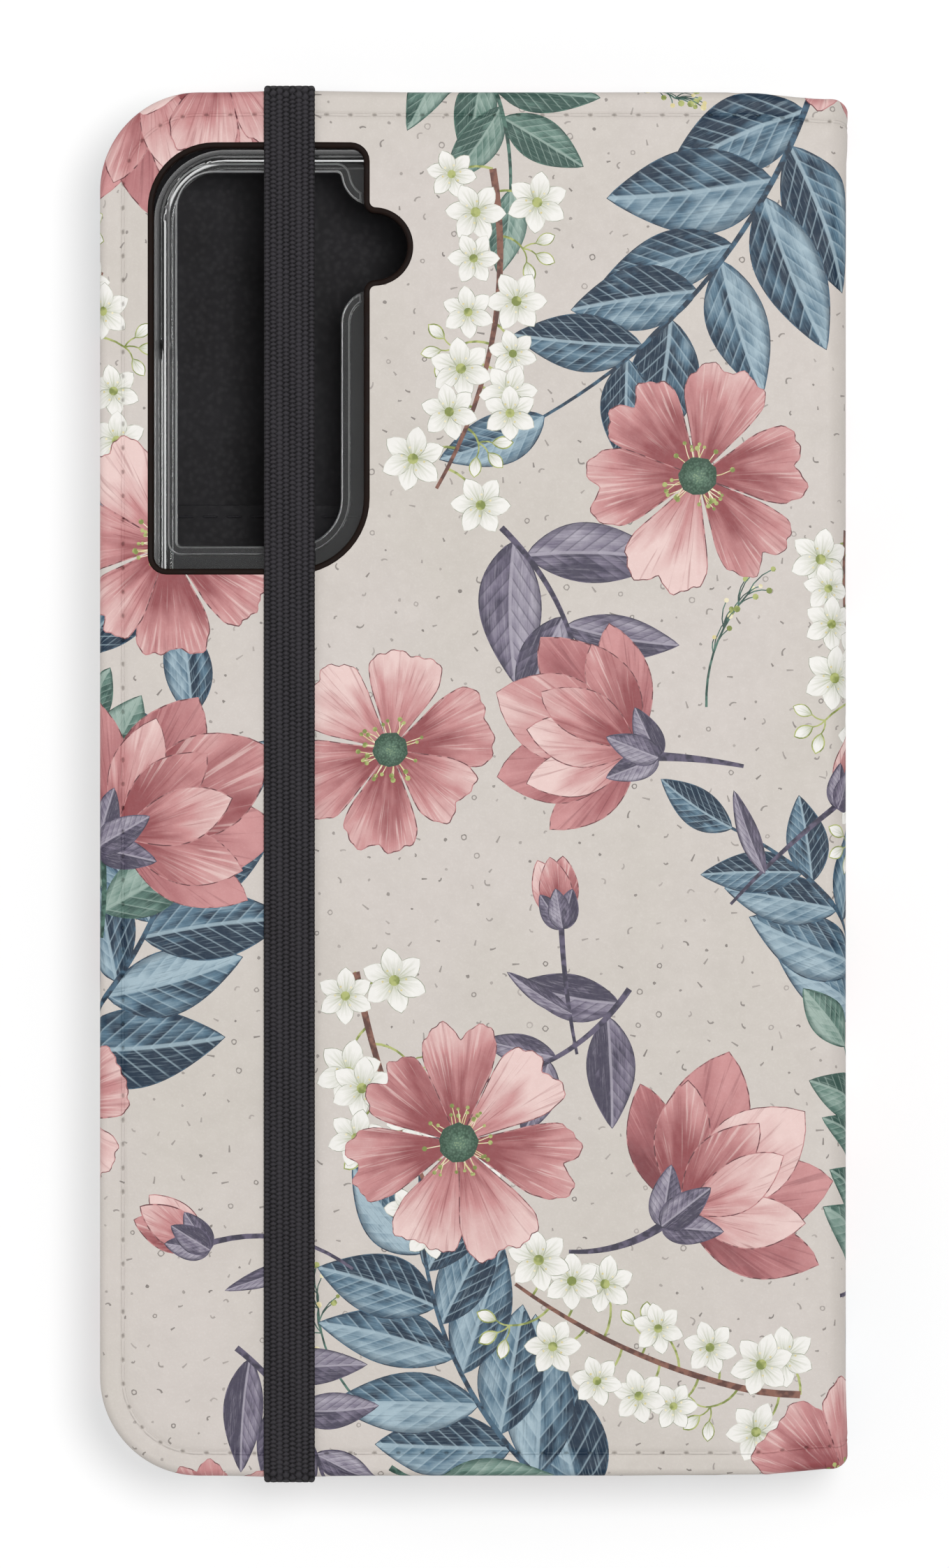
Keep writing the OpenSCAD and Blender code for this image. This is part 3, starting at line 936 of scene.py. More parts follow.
@dataclass(frozen=True)
class EdgeProfile:
    """How the skin leaves the flat face, turns over the edge and runs back underneath.

    Args:
        radius: Radius of the outer turn.
        depth: Thickness that it wraps.
        under: Radius of the inner turn.
        back: Length of the part that runs back underneath.
    """

    radius: float
    depth: float
    under: float
    back: float

    @property
    def stations(self) -> Array:
        """The bends of the profile.

        Returns:
            Their path lengths from the flat face's edge.
        """
        a, b = self.radius * math.pi / 2, self.under * math.pi / 2
        side = self.depth - self.radius - self.under
        return np.concatenate((np.linspace(0, a, 6), a + side + np.linspace(0, b, 4), [a + side + b + self.back]))

    def shape(self, path: Array) -> tuple[Array, Array]:
        """Gives the profile at path lengths beyond the flat face's edge: a quarter turn, a side, a turn and a flat.

        Args:
            path: Path lengths, 0 on the flat face.

        Returns:
            How far out and how deep the skin is.
        """
        r, u = self.radius, self.under
        side = self.depth - r - u
        a = np.clip(path / r, 0, math.pi / 2)
        down = np.clip(path - r * math.pi / 2, 0, side)
        b = np.clip((path - r * math.pi / 2 - side) / u, 0, math.pi / 2)
        back = np.clip(path - (r + u) * math.pi / 2 - side, 0, None)
        return r * np.sin(a) - u * (1 - np.cos(b)) - back, r * (1 - np.cos(a)) + down + u * np.sin(b)


@dataclass
class Region:
    """A part of the unrolled cover and the way that it is wrapped round the case.

    Args:
        start: Where it starts on the unrolled cover.
        width: How wide it is.
    """

    sizes: CaseSizes
    start: float
    width: float

    def border(self) -> Array:
        """The region's outline on the unrolled cover."""
        raise NotImplementedError

    def lines(self) -> list[Array]:
        """Lines on the unrolled cover along which the surface bends."""
        raise NotImplementedError

    def place(self, sheet: Array) -> Array:
        """Wraps points of the unrolled cover round the case."""
        raise NotImplementedError

    def seam(self, sheet: Array) -> tuple[Array, Array]:
        """The seam's relief, and how far points of the unrolled cover lie in a needle hole, from 0 to 1."""
        raise NotImplementedError

    def normals(self, sheet: Array, step: float = 0.004) -> Array:
        """Crosses two short steps on the wrapped surface.

        Args:
            sheet: Points on the unrolled cover.
            step: Length of a step.

        Returns:
            Unit normals.
        """
        dx, dy = np.array([step, 0]), np.array([0, step])
        along = self.place(sheet + dx) - self.place(sheet - dx)
        up = self.place(sheet + dy) - self.place(sheet - dy)
        n = np.cross(along, up)
        return n / np.maximum(np.linalg.norm(n, axis=1, keepdims=True), 1e-12)


class CoverRegion(Region):
    """A cover: flat, with its edge turned in on three sides, and running on into the fold on the fourth.

    Args:
        front: True for the front cover, whose printed face is down.
    """

    def __init__(self, sizes: CaseSizes, front: bool) -> None:
        """Takes its place on the unrolled cover from the case's sizes."""
        super().__init__(sizes, sizes.sheet_w - sizes.panel_w if front else 0.0, sizes.panel_w)
        self.front = front
        self.edge = EdgeProfile(sizes.edge_r, sizes.panel_rim, 0.35, 1.1)

    def ring(self, out: float) -> Array:
        """The line at a distance outside the flat face's edge, from the fold round the fore-edge back to the fold.

        Args:
            out: The distance.

        Returns:
            Points on the unrolled cover.
        """
        z = self.sizes
        radius = z.cover_corner - z.edge_r + out
        x, y = z.cover_corner, z.half_h - z.cover_corner
        line = np.vstack(([[self.width, y + radius]], arc((x, y), radius, 90, 180, 26),
                          arc((x, -y), radius, 180, 270, 26), [[self.width, -y - radius]]))
        return self.mirrored(line)

    def mirrored(self, own: Array) -> Array:
        """Moves between distances from the fore-edge and the unrolled cover's coordinates. It is its own inverse."""
        return np.column_stack((self.sizes.sheet_w - own[:, 0], own[:, 1])) if self.front else own

    def border(self) -> Array:
        """The line where the skin ends underneath."""
        line = self.ring(float(self.edge.stations[-1]))
        return line[::-1] if self.front else line

    def lines(self) -> list[Array]:
        """Lines along the seam and the turned edge, and across the seam.

        Returns:
            Their points.
        """
        seam = self.sizes.edge_r - self.sizes.seam_inset
        rings = [*(seam + d for d in SEAM_LINES), *self.edge.stations[:-1]]
        return [self.ring(float(d)) for d in rings] + self.stitch_lines()

    def stitch_lines(self) -> list[Array]:
        """Short lines across the seam, on which its stitches rise and end.

        Returns:
            Two points for each line.
        """
        pitch, ends = self.sizes.stitch_pitch, self.sizes.seam_run
        count = int(ends // pitch) + 1
        along = (pitch * (np.arange(-count, count)[:, None] + STITCH_SHARES)).ravel()
        along = along[np.abs(along) < ends - 0.01]
        return [np.array(pair) for pair in zip(self.on_seam(along, -THREAD_REACH), self.on_seam(along, THREAD_REACH))]

    def on_seam(self, along: Array, aside: float) -> Array:
        """Walks along the seam: straight, round the corner and straight again, the same way on both sides.

        Args:
            along: Lengths along the seam from the middle of the fore-edge.
            aside: Distance outside it.

        Returns:
            Points on the unrolled cover.
        """
        z = self.sizes
        straight, corner = z.half_h - z.cover_corner, z.cover_corner - z.seam_inset
        s = np.abs(along)
        a = np.clip((s - straight) / corner, 0, math.pi / 2)
        reach = corner + aside
        x = z.cover_corner - reach * np.cos(a) + np.clip(s - straight - corner * math.pi / 2, 0, None)
        y = np.minimum(s, straight) + reach * np.sin(a)
        return self.mirrored(np.column_stack((x, np.sign(along) * y)))

    def along_seam(self, own: Array) -> Array:
        """Finds the place on the seam that is nearest to each point.

        Args:
            own: Points by their distance from the fore-edge.

        Returns:
            Lengths along the seam from the middle of the fore-edge.
        """
        z = self.sizes
        straight, corner = z.half_h - z.cover_corner, z.cover_corner - z.seam_inset
        y = np.abs(own[:, 1])
        a = np.arctan2(np.maximum(y - straight, 0), np.maximum(z.cover_corner - own[:, 0], 1e-9))
        past = np.maximum(own[:, 0] - z.cover_corner, 0)
        return np.sign(own[:, 1]) * (np.minimum(y, straight) + corner * a + past)

    def place(self, sheet: Array) -> Array:
        """Wraps the sheet round the cover's edge.

        A point's distance outside the flat face's edge becomes the path along the edge's profile, in the direction away
        from the nearer round corner. The seam's relief stands on it.

        Args:
            sheet: Points on the unrolled cover.

        Returns:
            Points in the case.
        """
        z = self.sizes
        own = self.mirrored(sheet)
        q = self.past_corner(own)
        outside = np.maximum(q, 0)
        length = np.hypot(*outside.T)
        distance = self.edge_distance(own)
        n = np.where((length > 1e-9)[:, None], outside / np.maximum(length, 1e-9)[:, None],
                     np.column_stack((q[:, 0] > q[:, 1], q[:, 0] <= q[:, 1])))
        n = n * np.column_stack((-np.ones(len(n)), np.sign(own[:, 1])))
        path = np.maximum(distance, 0)
        out, deep = self.edge.shape(path)
        flat = own + n * (out - path)[:, None]
        deep = deep - self.seam(sheet)[0]
        y = flat[:, 1] * (1 - self.dip(own[:, 0]) / z.half_h) + self.bulge(own)
        height = deep if self.front else z.case_t - deep
        return np.column_stack((z.fore_x + flat[:, 0], y, height))

    def dip(self, x: Array) -> Array:
        """How much lower the top edge gets towards the spine."""
        return (self.sizes.half_h - self.sizes.spine_half_h) * smooth((x - self.width + 11) / 11) ** 1.5

    def bulge(self, own: Array) -> Array:
        """How far the ends of the back cover swell where the strap turns round them: a bell across the strap.

        Args:
            own: Points by their distance from the fore-edge.

        Returns:
            A distance along y for each point.
        """
        if self.front:
            return np.zeros(len(own))
        x = own[:, 0] + self.sizes.fore_x - self.sizes.strap_x
        near = smooth((np.abs(own[:, 1]) - self.sizes.half_h + 9) / 9)
        return 0.22 * np.exp(-((x / 4.2) ** 2)) * near * np.sign(own[:, 1])

    def seam(self, sheet: Array) -> tuple[Array, Array]:
        """The seam runs round three sides, inside the edge.

        Args:
            sheet: Points on the unrolled cover.

        Returns:
            Its relief and its needle holes.
        """
        own = self.mirrored(sheet)
        across = self.edge_distance(own) + self.sizes.seam_inset - self.sizes.edge_r
        return sewn(across, self.along_seam(own), self.sizes.stitch_pitch)

    def past_corner(self, own: Array) -> Array:
        """How far points lie past the centre of the nearer round corner, towards the fore-edge and the end."""
        z = self.sizes
        return np.column_stack((z.cover_corner - own[:, 0], np.abs(own[:, 1]) - (z.half_h - z.cover_corner)))

    def edge_distance(self, own: Array) -> Array:
        """Measures from a rectangle with round corners.

        Args:
            own: Points by their distance from the fore-edge.

        Returns:
            Distance outside the flat face's edge, negative inside it.
        """
        q = self.past_corner(own)
        return (np.minimum(q.max(1), 0) + np.hypot(*np.maximum(q, 0).T)
                - (self.sizes.cover_corner - self.sizes.edge_r))


class SpineRegion(Region):
    """The spine between its folds, with its ends turned in. Its ends are a little lower than the covers'.

    Args:
        frame_of: Gives the position and the inward direction at distances from the start.
        round_off: Gives how far the ends are rounded off at distances from the start, from 0 to 1.
        thick: Thickness that its ends wrap.
        bends: Number of bends across its width.
    """

    ROUND = 0.9
    SWELL = 0.22

    def __init__(self, sizes: CaseSizes, start: float, width: float,
                 frame_of: Callable[[Array], tuple[Array, Array]],
                 round_off: Callable[[Array], Array], thick: float, bends: int) -> None:
        """Takes its edge from the thickness that it wraps."""
        super().__init__(sizes, start, width)
        self.frame_of, self.round_off, self.bends = frame_of, round_off, bends
        self.edge = EdgeProfile(0.6, thick, 0.25, 1.1)

    @property
    def flat(self) -> float:
        """Half length of the flat face on the unrolled cover."""
        return self.sizes.half_h - self.edge.radius

    def border(self) -> Array:
        """A strip as long as the cover and its turned-in ends.

        Returns:
            Its four corners.
        """
        top = self.flat + float(self.edge.stations[-1])
        a, b = self.start, self.start + self.width
        return np.array([(a, -top), (b, -top), (b, top), (a, top)], float)

    def lines(self) -> list[Array]:
        """Lines along the seams, the turned ends and the bends, and across the seams.

        Returns:
            Their points.
        """
        z = self.sizes
        (a, low), (b, _), (_, top), _ = self.border()
        rows = [*(z.half_h - z.seam_inset + d for d in SEAM_LINES), *(self.flat + self.edge.stations[:-1]),
                self.flat - 7]
        out = [np.array([(a, s * y), (b, s * y)]) for s in (-1, 1) for y in rows]
        out += [np.array([(x, low), (x, top)]) for x in np.linspace(a, b, self.bends + 2)[1:-1]]
        count = int(z.sheet_w / z.stitch_pitch)
        along = (z.stitch_pitch * (np.arange(count)[:, None] + STITCH_SHARES)).ravel() - z.seam_run + z.panel_w
        middle = z.half_h - z.seam_inset
        out += [np.array([(x, y - THREAD_REACH), (x, y + THREAD_REACH)])
                for x in along[(along > a + 0.01) & (along < b - 0.01)] for y in (-middle, middle)]
        return out

    def seam(self, sheet: Array) -> tuple[Array, Array]:
        """The seam runs across both ends.

        Args:
            sheet: Points on the unrolled cover.

        Returns:
            Its relief and its needle holes.
        """
        z = self.sizes
        along = sheet[:, 0] - z.panel_w + z.seam_run
        return sewn(np.abs(sheet[:, 1]) - z.half_h + z.seam_inset, along, z.stitch_pitch)

    def place(self, sheet: Array) -> Array:
        """Wraps the sheet round the spine or a fold, whose ends are rounded off.

        Args:
            sheet: Points on the unrolled cover.

        Returns:
            Points in the case.
        """
        z = self.sizes
        aside = np.abs(sheet[:, 1])
        out, deep = self.edge.shape(np.maximum(aside - self.flat, 0))
        rounding = self.round_off(sheet[:, 0] - self.start)
        near = smooth((aside - z.half_h + 8) / 8)
        y = (np.minimum(aside, self.flat) + out) * z.spine_half_h / z.half_h - self.ROUND * rounding * near
        swell = self.SWELL * smooth((aside - z.half_h + 8.5) / 2.5) * rounding
        at, inward = self.frame_of(sheet[:, 0] - self.start)
        place = at + inward * (deep - self.seam(sheet)[0] - swell)[:, None]
        return np.column_stack((place[:, 0], np.sign(sheet[:, 1]) * y, place[:, 1]))


def cover_regions(z: CaseSizes) -> dict[str, Region]:
    """Cuts the unrolled cover at its folds.

    Args:
        z: The case's sizes.

    Returns:
        The five parts by the name of the CAD node that they stand for.
    """

    def fold(centre: tuple[float, float], first: float) -> Callable:
        """Gives the frame of a fold: a quarter turn about a centre.

        Args:
            centre: Its centre in x and z.
            first: The angle at which it starts.

        Returns:
            A function of distances round the turn.
        """
        def frame_of(x: Array) -> tuple[Array, Array]:
            """Follows the turn.

            Args:
                x: Distances round it.

            Returns:
                Places and inward directions.
            """
            a = first - x / z.fold_r
            out = np.column_stack((np.cos(a), np.sin(a)))
            return np.array(centre) + z.fold_r * out, -out
        return frame_of

    def spine(x: Array) -> tuple[Array, Array]:
        """Places and inward directions at distances down the spine."""
        ones = np.ones(len(x))
        return np.column_stack((z.spine_x * ones, z.case_t - z.fold_r - x)), np.column_stack((-ones, 0 * ones))

    def rounding(reach: Array) -> Array:
        """How far a fold's ends are rounded off at an angle from the cover, from 0 to 1."""
        return 1 - np.sqrt(1 - np.clip(1.75 * np.sin(np.clip(reach, 0, math.pi / 2)) - 0.75, 0, 0.999) ** 2)

    back, fold_w = z.panel_w, z.fold_w
    middle, front = back + fold_w, back + fold_w + z.spine_w
    return {
        "back_skin": CoverRegion(z, front=False),
        "fold_back": SpineRegion(z, back, fold_w, fold((z.panel_end, z.case_t - z.fold_r), math.pi / 2),
                                 lambda x: rounding(x / z.fold_r), 1.2, 9),
        "spine_skin": SpineRegion(z, middle, z.spine_w, spine, lambda x: rounding(np.full(len(x), math.pi / 2)), 2.0,
                                  3),
        "fold_front": SpineRegion(z, front, fold_w, fold((z.panel_end, z.fold_r), 0.0),
                                  lambda x: rounding((fold_w - x) / z.fold_r), 1.2, 9),
        "front_skin": CoverRegion(z, front=True),
    }


# --- Materials ---


def colour(hex_code: str) -> tuple[float, float, float, float]:
    """Turns an sRGB hex colour into the linear colour that the sockets hold.

    Args:
        hex_code: The colour, such as #8090A0.

    Returns:
        Its red, green and blue, and full opacity.
    """
    srgb = np.array([int(hex_code[i:i + 2], 16) for i in (1, 3, 5)]) / 255
    linear = np.where(srgb <= 0.04045, srgb / 12.92, ((srgb + 0.055) / 1.055) ** 2.4)
    return (*(float(c) for c in linear), 1.0)


class Kind(Enum):
    """A kind of node: its type, the sockets that its values go to in order, its output and its fixed settings."""

    MATH = ("ShaderNodeMath", (0, 1, 2), 0, {})
    STEP = ("ShaderNodeMapRange", (0, 1, 2, 3, 4), 0, {"interpolation_type": "SMOOTHSTEP"})
    MIX = ("ShaderNodeMix", (0, 6, 7), 2, {"data_type": "RGBA", "clamp_factor": True})
    RAMP = ("ShaderNodeValToRGB", (0,), 0, {})
    NOISE = ("ShaderNodeTexNoise", ("Vector", "Scale", "Detail", "Roughness"), 0, {})
    CELLS = ("ShaderNodeTexVoronoi", ("Vector", "Scale"), "Distance", {})
    VECTOR = ("ShaderNodeCombineXYZ", (0, 1, 2), 0, {})
    SPLIT = ("ShaderNodeSeparateXYZ", (0,), 0, {})
    BUMP = ("ShaderNodeBump", ("Height", "Distance", "Strength"), 0, {})
    PLACE = ("ShaderNodeTexCoord", (), "Object", {})
    STORED = ("ShaderNodeAttribute", (), "Vector", {})
    NUMBER = ("ShaderNodeAttribute", (), "Fac", {})
    CAMERA_RAY = ("ShaderNodeLightPath", (), "Is Camera Ray", {})
    SURFACE = ("ShaderNodeBsdfPrincipled", ("Base Color", "Roughness", "Specular IOR Level", "Normal"), 0, {})
    MATT = ("ShaderNodeBsdfDiffuse", ("Color",), 0, {})
    GLOW = ("ShaderNodeEmission", ("Color", "Strength"), 0, {})
    EITHER = ("ShaderNodeMixShader", (0, 1, 2), 0, {})
    OUTPUT = ("ShaderNodeOutputMaterial", ("Surface",), 0, {})

    def __init__(self, node: str, sockets: tuple[int | str, ...], output: int | str, settings: dict) -> None:
        """Names the four parts."""
        self.node, self.sockets, self.output, self.settings = node, sockets, output, settings


class Flow:
    """A number, vector or colour on its way through a node tree, with the usual arithmetic."""

    def __init__(self, graph: "Graph", node: Node, output: int | str) -> None:
        """Holds one output of a node."""
        self.graph, self.node, self.output = graph, node, output

    def __add__(self, other: "Flow | float") -> "Flow":
        """This number plus another."""
        return self.graph.add(Kind.MATH, self, other, operation="ADD")

    def __sub__(self, other: "Flow | float") -> "Flow":
        """This number less another."""
        return self.graph.add(Kind.MATH, self, other, operation="SUBTRACT")

    def __mul__(self, other: "Flow | float") -> "Flow":
        """This number times another."""
        return self.graph.add(Kind.MATH, self, other, operation="MULTIPLY")

    def __truediv__(self, other: "Flow | float") -> "Flow":
        """This number over another."""
        return self.graph.add(Kind.MATH, self, other, operation="DIVIDE")

    def parts(self) -> "list[Flow]":
        """The three numbers of this vector."""
        split = self.graph.add(Kind.SPLIT, self)
        return [Flow(self.graph, split.node, i) for i in range(3)]


class Graph:
    """One material's node tree.

    Args:
        name: Name of the material, after the real material and its finish.
    """

    def __init__(self, name: str) -> None:
        """Starts an empty material."""
        self.material = bpy.data.materials.new(name)
        self.material.use_nodes = True
        self.material.node_tree.nodes.clear()

    def add(self, kind: Kind, *values: "Flow | float | str", stops: Sequence[tuple[float, str]] = (),
            more: dict | None = None, **settings: object) -> Flow:
        """Adds a node.

        Args:
            kind: Its kind.
            values: What its sockets get, in the kind's order. A string is a hex colour.
            stops: The places and colours of a ramp.
            more: What further sockets get, by name.
            settings: The node's own settings.

        Returns:
            Its output.
        """
        tree = self.material.node_tree
        node = tree.nodes.new(kind.node)
        for key, value in (kind.settings | settings).items():
            setattr(node, key, value)
        for key, value in (dict(zip(kind.sockets, values)) | (more or {})).items():
            if isinstance(value, Flow):
                tree.links.new(value.node.outputs[value.output], node.inputs[key])
            else:
                node.inputs[key].default_value = colour(value) if isinstance(value, str) else value
        for _ in stops[2:]:
            node.color_ramp.elements.new(0.5)
        for element, (position, code) in zip(node.color_ramp.elements if stops else (), stops):
            element.position, element.color = position, colour(code)
        return Flow(self, node, kind.output)

    def ended(self, surface: Flow) -> Material:
        """Ends the tree in a surface and gives the material."""
        self.add(Kind.OUTPUT, surface)
        return self.material


@dataclass(frozen=True)
class PrintedLeather:
    """Grained synthetic leather printed in one ink. All inks share one satin, finely grained surface."""

    ink: Ink

    #: darkest, middle and lightest colour of the shaded inks
    PALETTES = {
        Ink.ROSE: ("#934B4F", "#C98C8C", "#EBCDC8"),
        Ink.ROSE_DEEP: ("#7F4045", "#AB686B", "#CF9393"),
        Ink.BLUE: ("#142C41", "#58778B", "#A6BCC7"),
        Ink.MAUVE: ("#454053", "#7A7286", "#AFA9B6"),
        Ink.SAGE: ("#36544C", "#648479", "#A0B5AB"),
    }
    #: the two colours between which a drawn line wavers
    LINES = {
        Ink.FLECK: ("#867F7A", "#B4ACA6"), Ink.ROSE_LINE: ("#653439", "#C48A8A"), Ink.STAMEN: ("#D8CB93", "#EFE6C4"),
        Ink.BLUE_LINE: ("#1D2F41", "#48657A"), Ink.MAUVE_LINE: ("#373345", "#655E73"),
        Ink.SAGE_LINE: ("#2D4941", "#587A6E"), Ink.WHITE_LINE: ("#9BA08D", "#DAD9CF"), Ink.TWIG: ("#5C3A32", "#8B6153"),
        Ink.LIME: ("#7E8A44", "#B4BB76"),
    }
    GROUND = ("#D3CBC5", "#CFC8C0")

    @cache
    def material(self) -> Material:
        """Gives the ink's material, and makes it at first use.

        Returns:
            The material.
        """
        ink, graph = self.ink, Graph(f"printed leather {self.ink.value}")
        add = graph.add
        u, v, _ = add(Kind.STORED, attribute_name="own").parts()
        tone, bend, _ = add(Kind.STORED, attribute_name="patch").parts()
        if ink in (Ink.ROSE, Ink.ROSE_DEEP):
            shade = self.petal(graph, u, v, tone)
        elif ink in self.PALETTES:
            shade = self.leaf(graph, u, v, tone, bend)
        elif ink is Ink.WHITE:
            shade = self.white(graph, u, v, tone)
        elif ink is Ink.HEART:
            shade = self.heart(graph, u, v)
        elif ink is Ink.FLECK:
            shade = add(Kind.MIX, tone, *self.LINES[ink])
        elif ink in self.LINES:
            shade = add(Kind.MIX, add(Kind.STEP, add(Kind.NOISE, add(Kind.PLACE), 900.0), 0.4, 0.6), *self.LINES[ink])
        else:
            shade = add(Kind.MIX, add(Kind.STEP, add(Kind.NOISE, add(Kind.PLACE), 45.0), 0.3, 0.7), *self.GROUND)
        return self.leather(graph, shade)

    def petal(self, graph: Graph, u: Flow, v: Flow, tone: Flow) -> Flow:
        """Watercolour petal: deep at its base, pale towards its tip, with fine streaks along it.

        Args:
            graph: The material's node tree.
            u: Share of the way from base to tip.
            v: Distance from the petal's axis in the same unit.
            tone: The petal's chance value.

        Returns:
            The petal's colour.
        """
        add, (dark, middle, light) = graph.add, self.PALETTES[self.ink]
        radius = add(Kind.MATH, u * u + v * v, operation="SQRT")
        angle, seed = add(Kind.MATH, v, u, operation="ARCTAN2"), tone * 37.0
        broad = add(Kind.NOISE, add(Kind.VECTOR, angle * 3.2, radius * 1.3, seed), 1.6)
        fine = add(Kind.NOISE, add(Kind.VECTOR, angle * 34.0, radius * 1.7, seed), 1.0, 3.0)
        share = radius * 0.82 + (broad - 0.5) * 0.9 + (tone - 0.5) * 0.62
        body = add(Kind.RAMP, share, stops=((0.12, dark), (0.5, middle), (0.98, light)))
        streaks = add(Kind.STEP, fine, 0.56, 0.70) * add(Kind.STEP, radius, 0.1, 1.0, 0.75, 0.35)
        glints = add(Kind.STEP, fine, 0.44, 0.33) * add(Kind.STEP, radius, 0.25, 0.8, 0.0, 0.55)
        return add(Kind.MIX, glints, add(Kind.MIX, streaks, body, dark), light)

    def leaf(self, graph: Graph, u: Flow, v: Flow, tone: Flow, bend: Flow) -> Flow:
        """Leaf with a pale midrib, side veins that run forwards, one half darker than the other and a dark rim.

        Args:
            graph: The material's node tree.
            u: Share of the way from foot to tip.
            v: Distance from the straight axis, 1 at the widest place.
            tone: The leaf's chance value.
            bend: How far the midrib has left the axis at the tip.

        Returns:
            The leaf's colour.
        """
        add, (dark, middle, light) = graph.add, self.PALETTES[self.ink]
        off, seed = v - bend * (u * u), tone * 29.0
        aside = add(Kind.MATH, off, operation="ABSOLUTE")
        width = add(Kind.MATH, add(Kind.MATH, u, 0.0005, operation="MAXIMUM"), LEAF_FAT, operation="POWER") * math.pi
        width = add(Kind.MATH, add(Kind.MATH, width, operation="SINE"), 0.001, operation="MAXIMUM")
        rim = aside / add(Kind.MATH, width, LEAF_SHARP, operation="POWER")
        cell = add(Kind.MATH, u * 9.0 - aside * 2.6 + tone, operation="FRACT")
        vein = add(Kind.STEP, cell, 0.0, 0.14, 1.0, 0.0) + add(Kind.STEP, cell, 0.9, 1.0)
        wash = add(Kind.NOISE, add(Kind.VECTOR, u * 2.6, off * 1.5, seed), 1.5, 3.0)
        share = wash * 0.95 + add(Kind.STEP, off, -0.1, 0.1) * 0.3 + (tone - 0.5) * 0.35 - cell * 0.16
        body = add(Kind.RAMP, share, stops=((0.38, dark), (0.59, middle), (0.92, light)))
        pencil = add(Kind.NOISE, add(Kind.VECTOR, u * 5.0, off * 22.0, seed), 1.0, 3.0)
        body = add(Kind.MIX, add(Kind.STEP, pencil, 0.5, 0.75, 0.0, 0.4), body, light)
        body = add(Kind.MIX, add(Kind.STEP, pencil, 0.5, 0.3, 0.0, 0.3), body, dark)
        body = add(Kind.MIX, vein * 0.55, body, dark if self.ink is Ink.MAUVE else light)
        body = add(Kind.MIX, add(Kind.STEP, rim, 0.72, 1.0, 0.0, 0.6), body, dark)
        return add(Kind.MIX, add(Kind.STEP, aside, 0.03, 0.075, 0.75, 0.0), body, light)

    @staticmethod
    def white(graph: Graph, u: Flow, v: Flow, tone: Flow) -> Flow:
        """White petal with a faint green-grey shade at its base and soft grey lines.

        Args:
            graph: The material's node tree.
            u: Share of the way from base to tip.
            v: Distance from the petal's axis in the same unit.
            tone: The petal's chance value.

        Returns:
            The petal's colour.
        """
        angle = graph.add(Kind.MATH, v, u, operation="ARCTAN2") * 9.0
        line = graph.add(Kind.NOISE, graph.add(Kind.VECTOR, angle, u, tone), 1.0)
        return graph.add(Kind.RAMP, u * 1.1 + (line - 0.5) * 1.1,
                         stops=((0.08, "#B9BE9F"), (0.4, "#DEDED4"), (0.8, "#F3F1EC")))

    @staticmethod
    def heart(graph: Graph, u: Flow, v: Flow) -> Flow:
        """Stippled green centre, darker at its rim and paler towards the light.

        Args:
            graph: The material's node tree.
            u: Distance from the middle, 1 at the rim.
            v: The same, square to it.

        Returns:
            The centre's colour.
        """
        radius = graph.add(Kind.MATH, u * u + v * v, operation="SQRT")
        share = radius * 0.75 + graph.add(Kind.CELLS, graph.add(Kind.VECTOR, u, v, 0.0), 9.0) * 0.7
        return graph.add(Kind.RAMP, share, stops=((0.15, "#93A983"), (0.5, "#5E7C68"), (1.0, "#34503F")))

    @staticmethod
    def leather(graph: Graph, shade: Flow) -> Material:
        """Synthetic leather with a fine pebbled grain, a satin print and painted shade in its needle holes.

        Args:
            graph: The material's node tree.
            shade: The print's colour.

        Returns:
            The finished material.
        """
        add, place = graph.add, graph.add(Kind.PLACE)
        patchy = add(Kind.STEP, add(Kind.NOISE, place, 260.0, 4.0, 0.6), 0.35, 0.7, 0.0, 0.05)
        shade = add(Kind.MIX, patchy, shade, "#8E8580", blend_type="MULTIPLY")
        # painted shade: the print is darkened in the seam's needle holes
        shade = add(Kind.MIX, add(Kind.NUMBER, attribute_name="hole") * 0.75, shade, "#6E6864", blend_type="MULTIPLY")
        specks = add(Kind.STEP, add(Kind.NOISE, place, 3800.0), 0.5, 0.72, 0.0, 0.10)
        shade = add(Kind.MIX, specks, shade, "#FFFFFF", blend_type="SOFT_LIGHT")
        creases = add(Kind.NOISE, place, 900.0, 4.0, 0.62)
        height = add(Kind.CELLS, place, 2300.0, feature="SMOOTH_F1") * -0.55 + creases
        rough = add(Kind.STEP, creases, 0.3, 0.7, 0.5, 0.62)
        return graph.ended(add(Kind.SURFACE, shade, rough, 0.32, add(Kind.BUMP, height, 0.00006, 0.45)))


@dataclass(frozen=True)
class Finish:
    """What a piece is made of and how its surface is made.

    Args:
        name: Name of the material, after the real one and its finish.
        dark: Darkest colour of its pattern.
        light: Lightest colour of its pattern.
    """

    name: str
    dark: str
    light: str

    @cache
    def material(self) -> Material:
        """Gives the finish's material, and makes it at first use."""
        graph = Graph(self.name)
        return graph.ended(self.surface(graph.add))

    def ramp(self, start: float, end: float) -> tuple[tuple[float, str], ...]:
        """A ramp's stops, from its darkest to its lightest colour."""
        return (start, self.dark), (end, self.light)

    def surface(self, add: Callable[..., Flow]) -> Flow:
        """Builds its nodes with the tree's own function and gives the surface."""
        raise NotImplementedError


@dataclass(frozen=True)
class Suede(Finish):
    """Charcoal microfibre suede with a short, unevenly brushed nap."""

    name: str = "charcoal microfibre suede"
    dark: str = "#18171A"
    light: str = "#28272B"

    def surface(self, add: Callable[..., Flow]) -> Flow:
        """Broad brushed patches and single fibres, with a little sheen.

        Args:
            add: The tree's own function for a node.

        Returns:
            The surface.
        """
        place = add(Kind.PLACE)
        fibre = add(Kind.NOISE, place, 5200.0)
        shade = add(Kind.RAMP, add(Kind.NOISE, place, 150.0, 3.0) * 0.6 + fibre * 0.4, stops=self.ramp(0.3, 0.7))
        return add(Kind.SURFACE, shade, 0.95, 0.1, add(Kind.BUMP, fibre, 0.00008, 0.6),
                   more={"Sheen Weight": 0.12, "Sheen Roughness": 0.4})


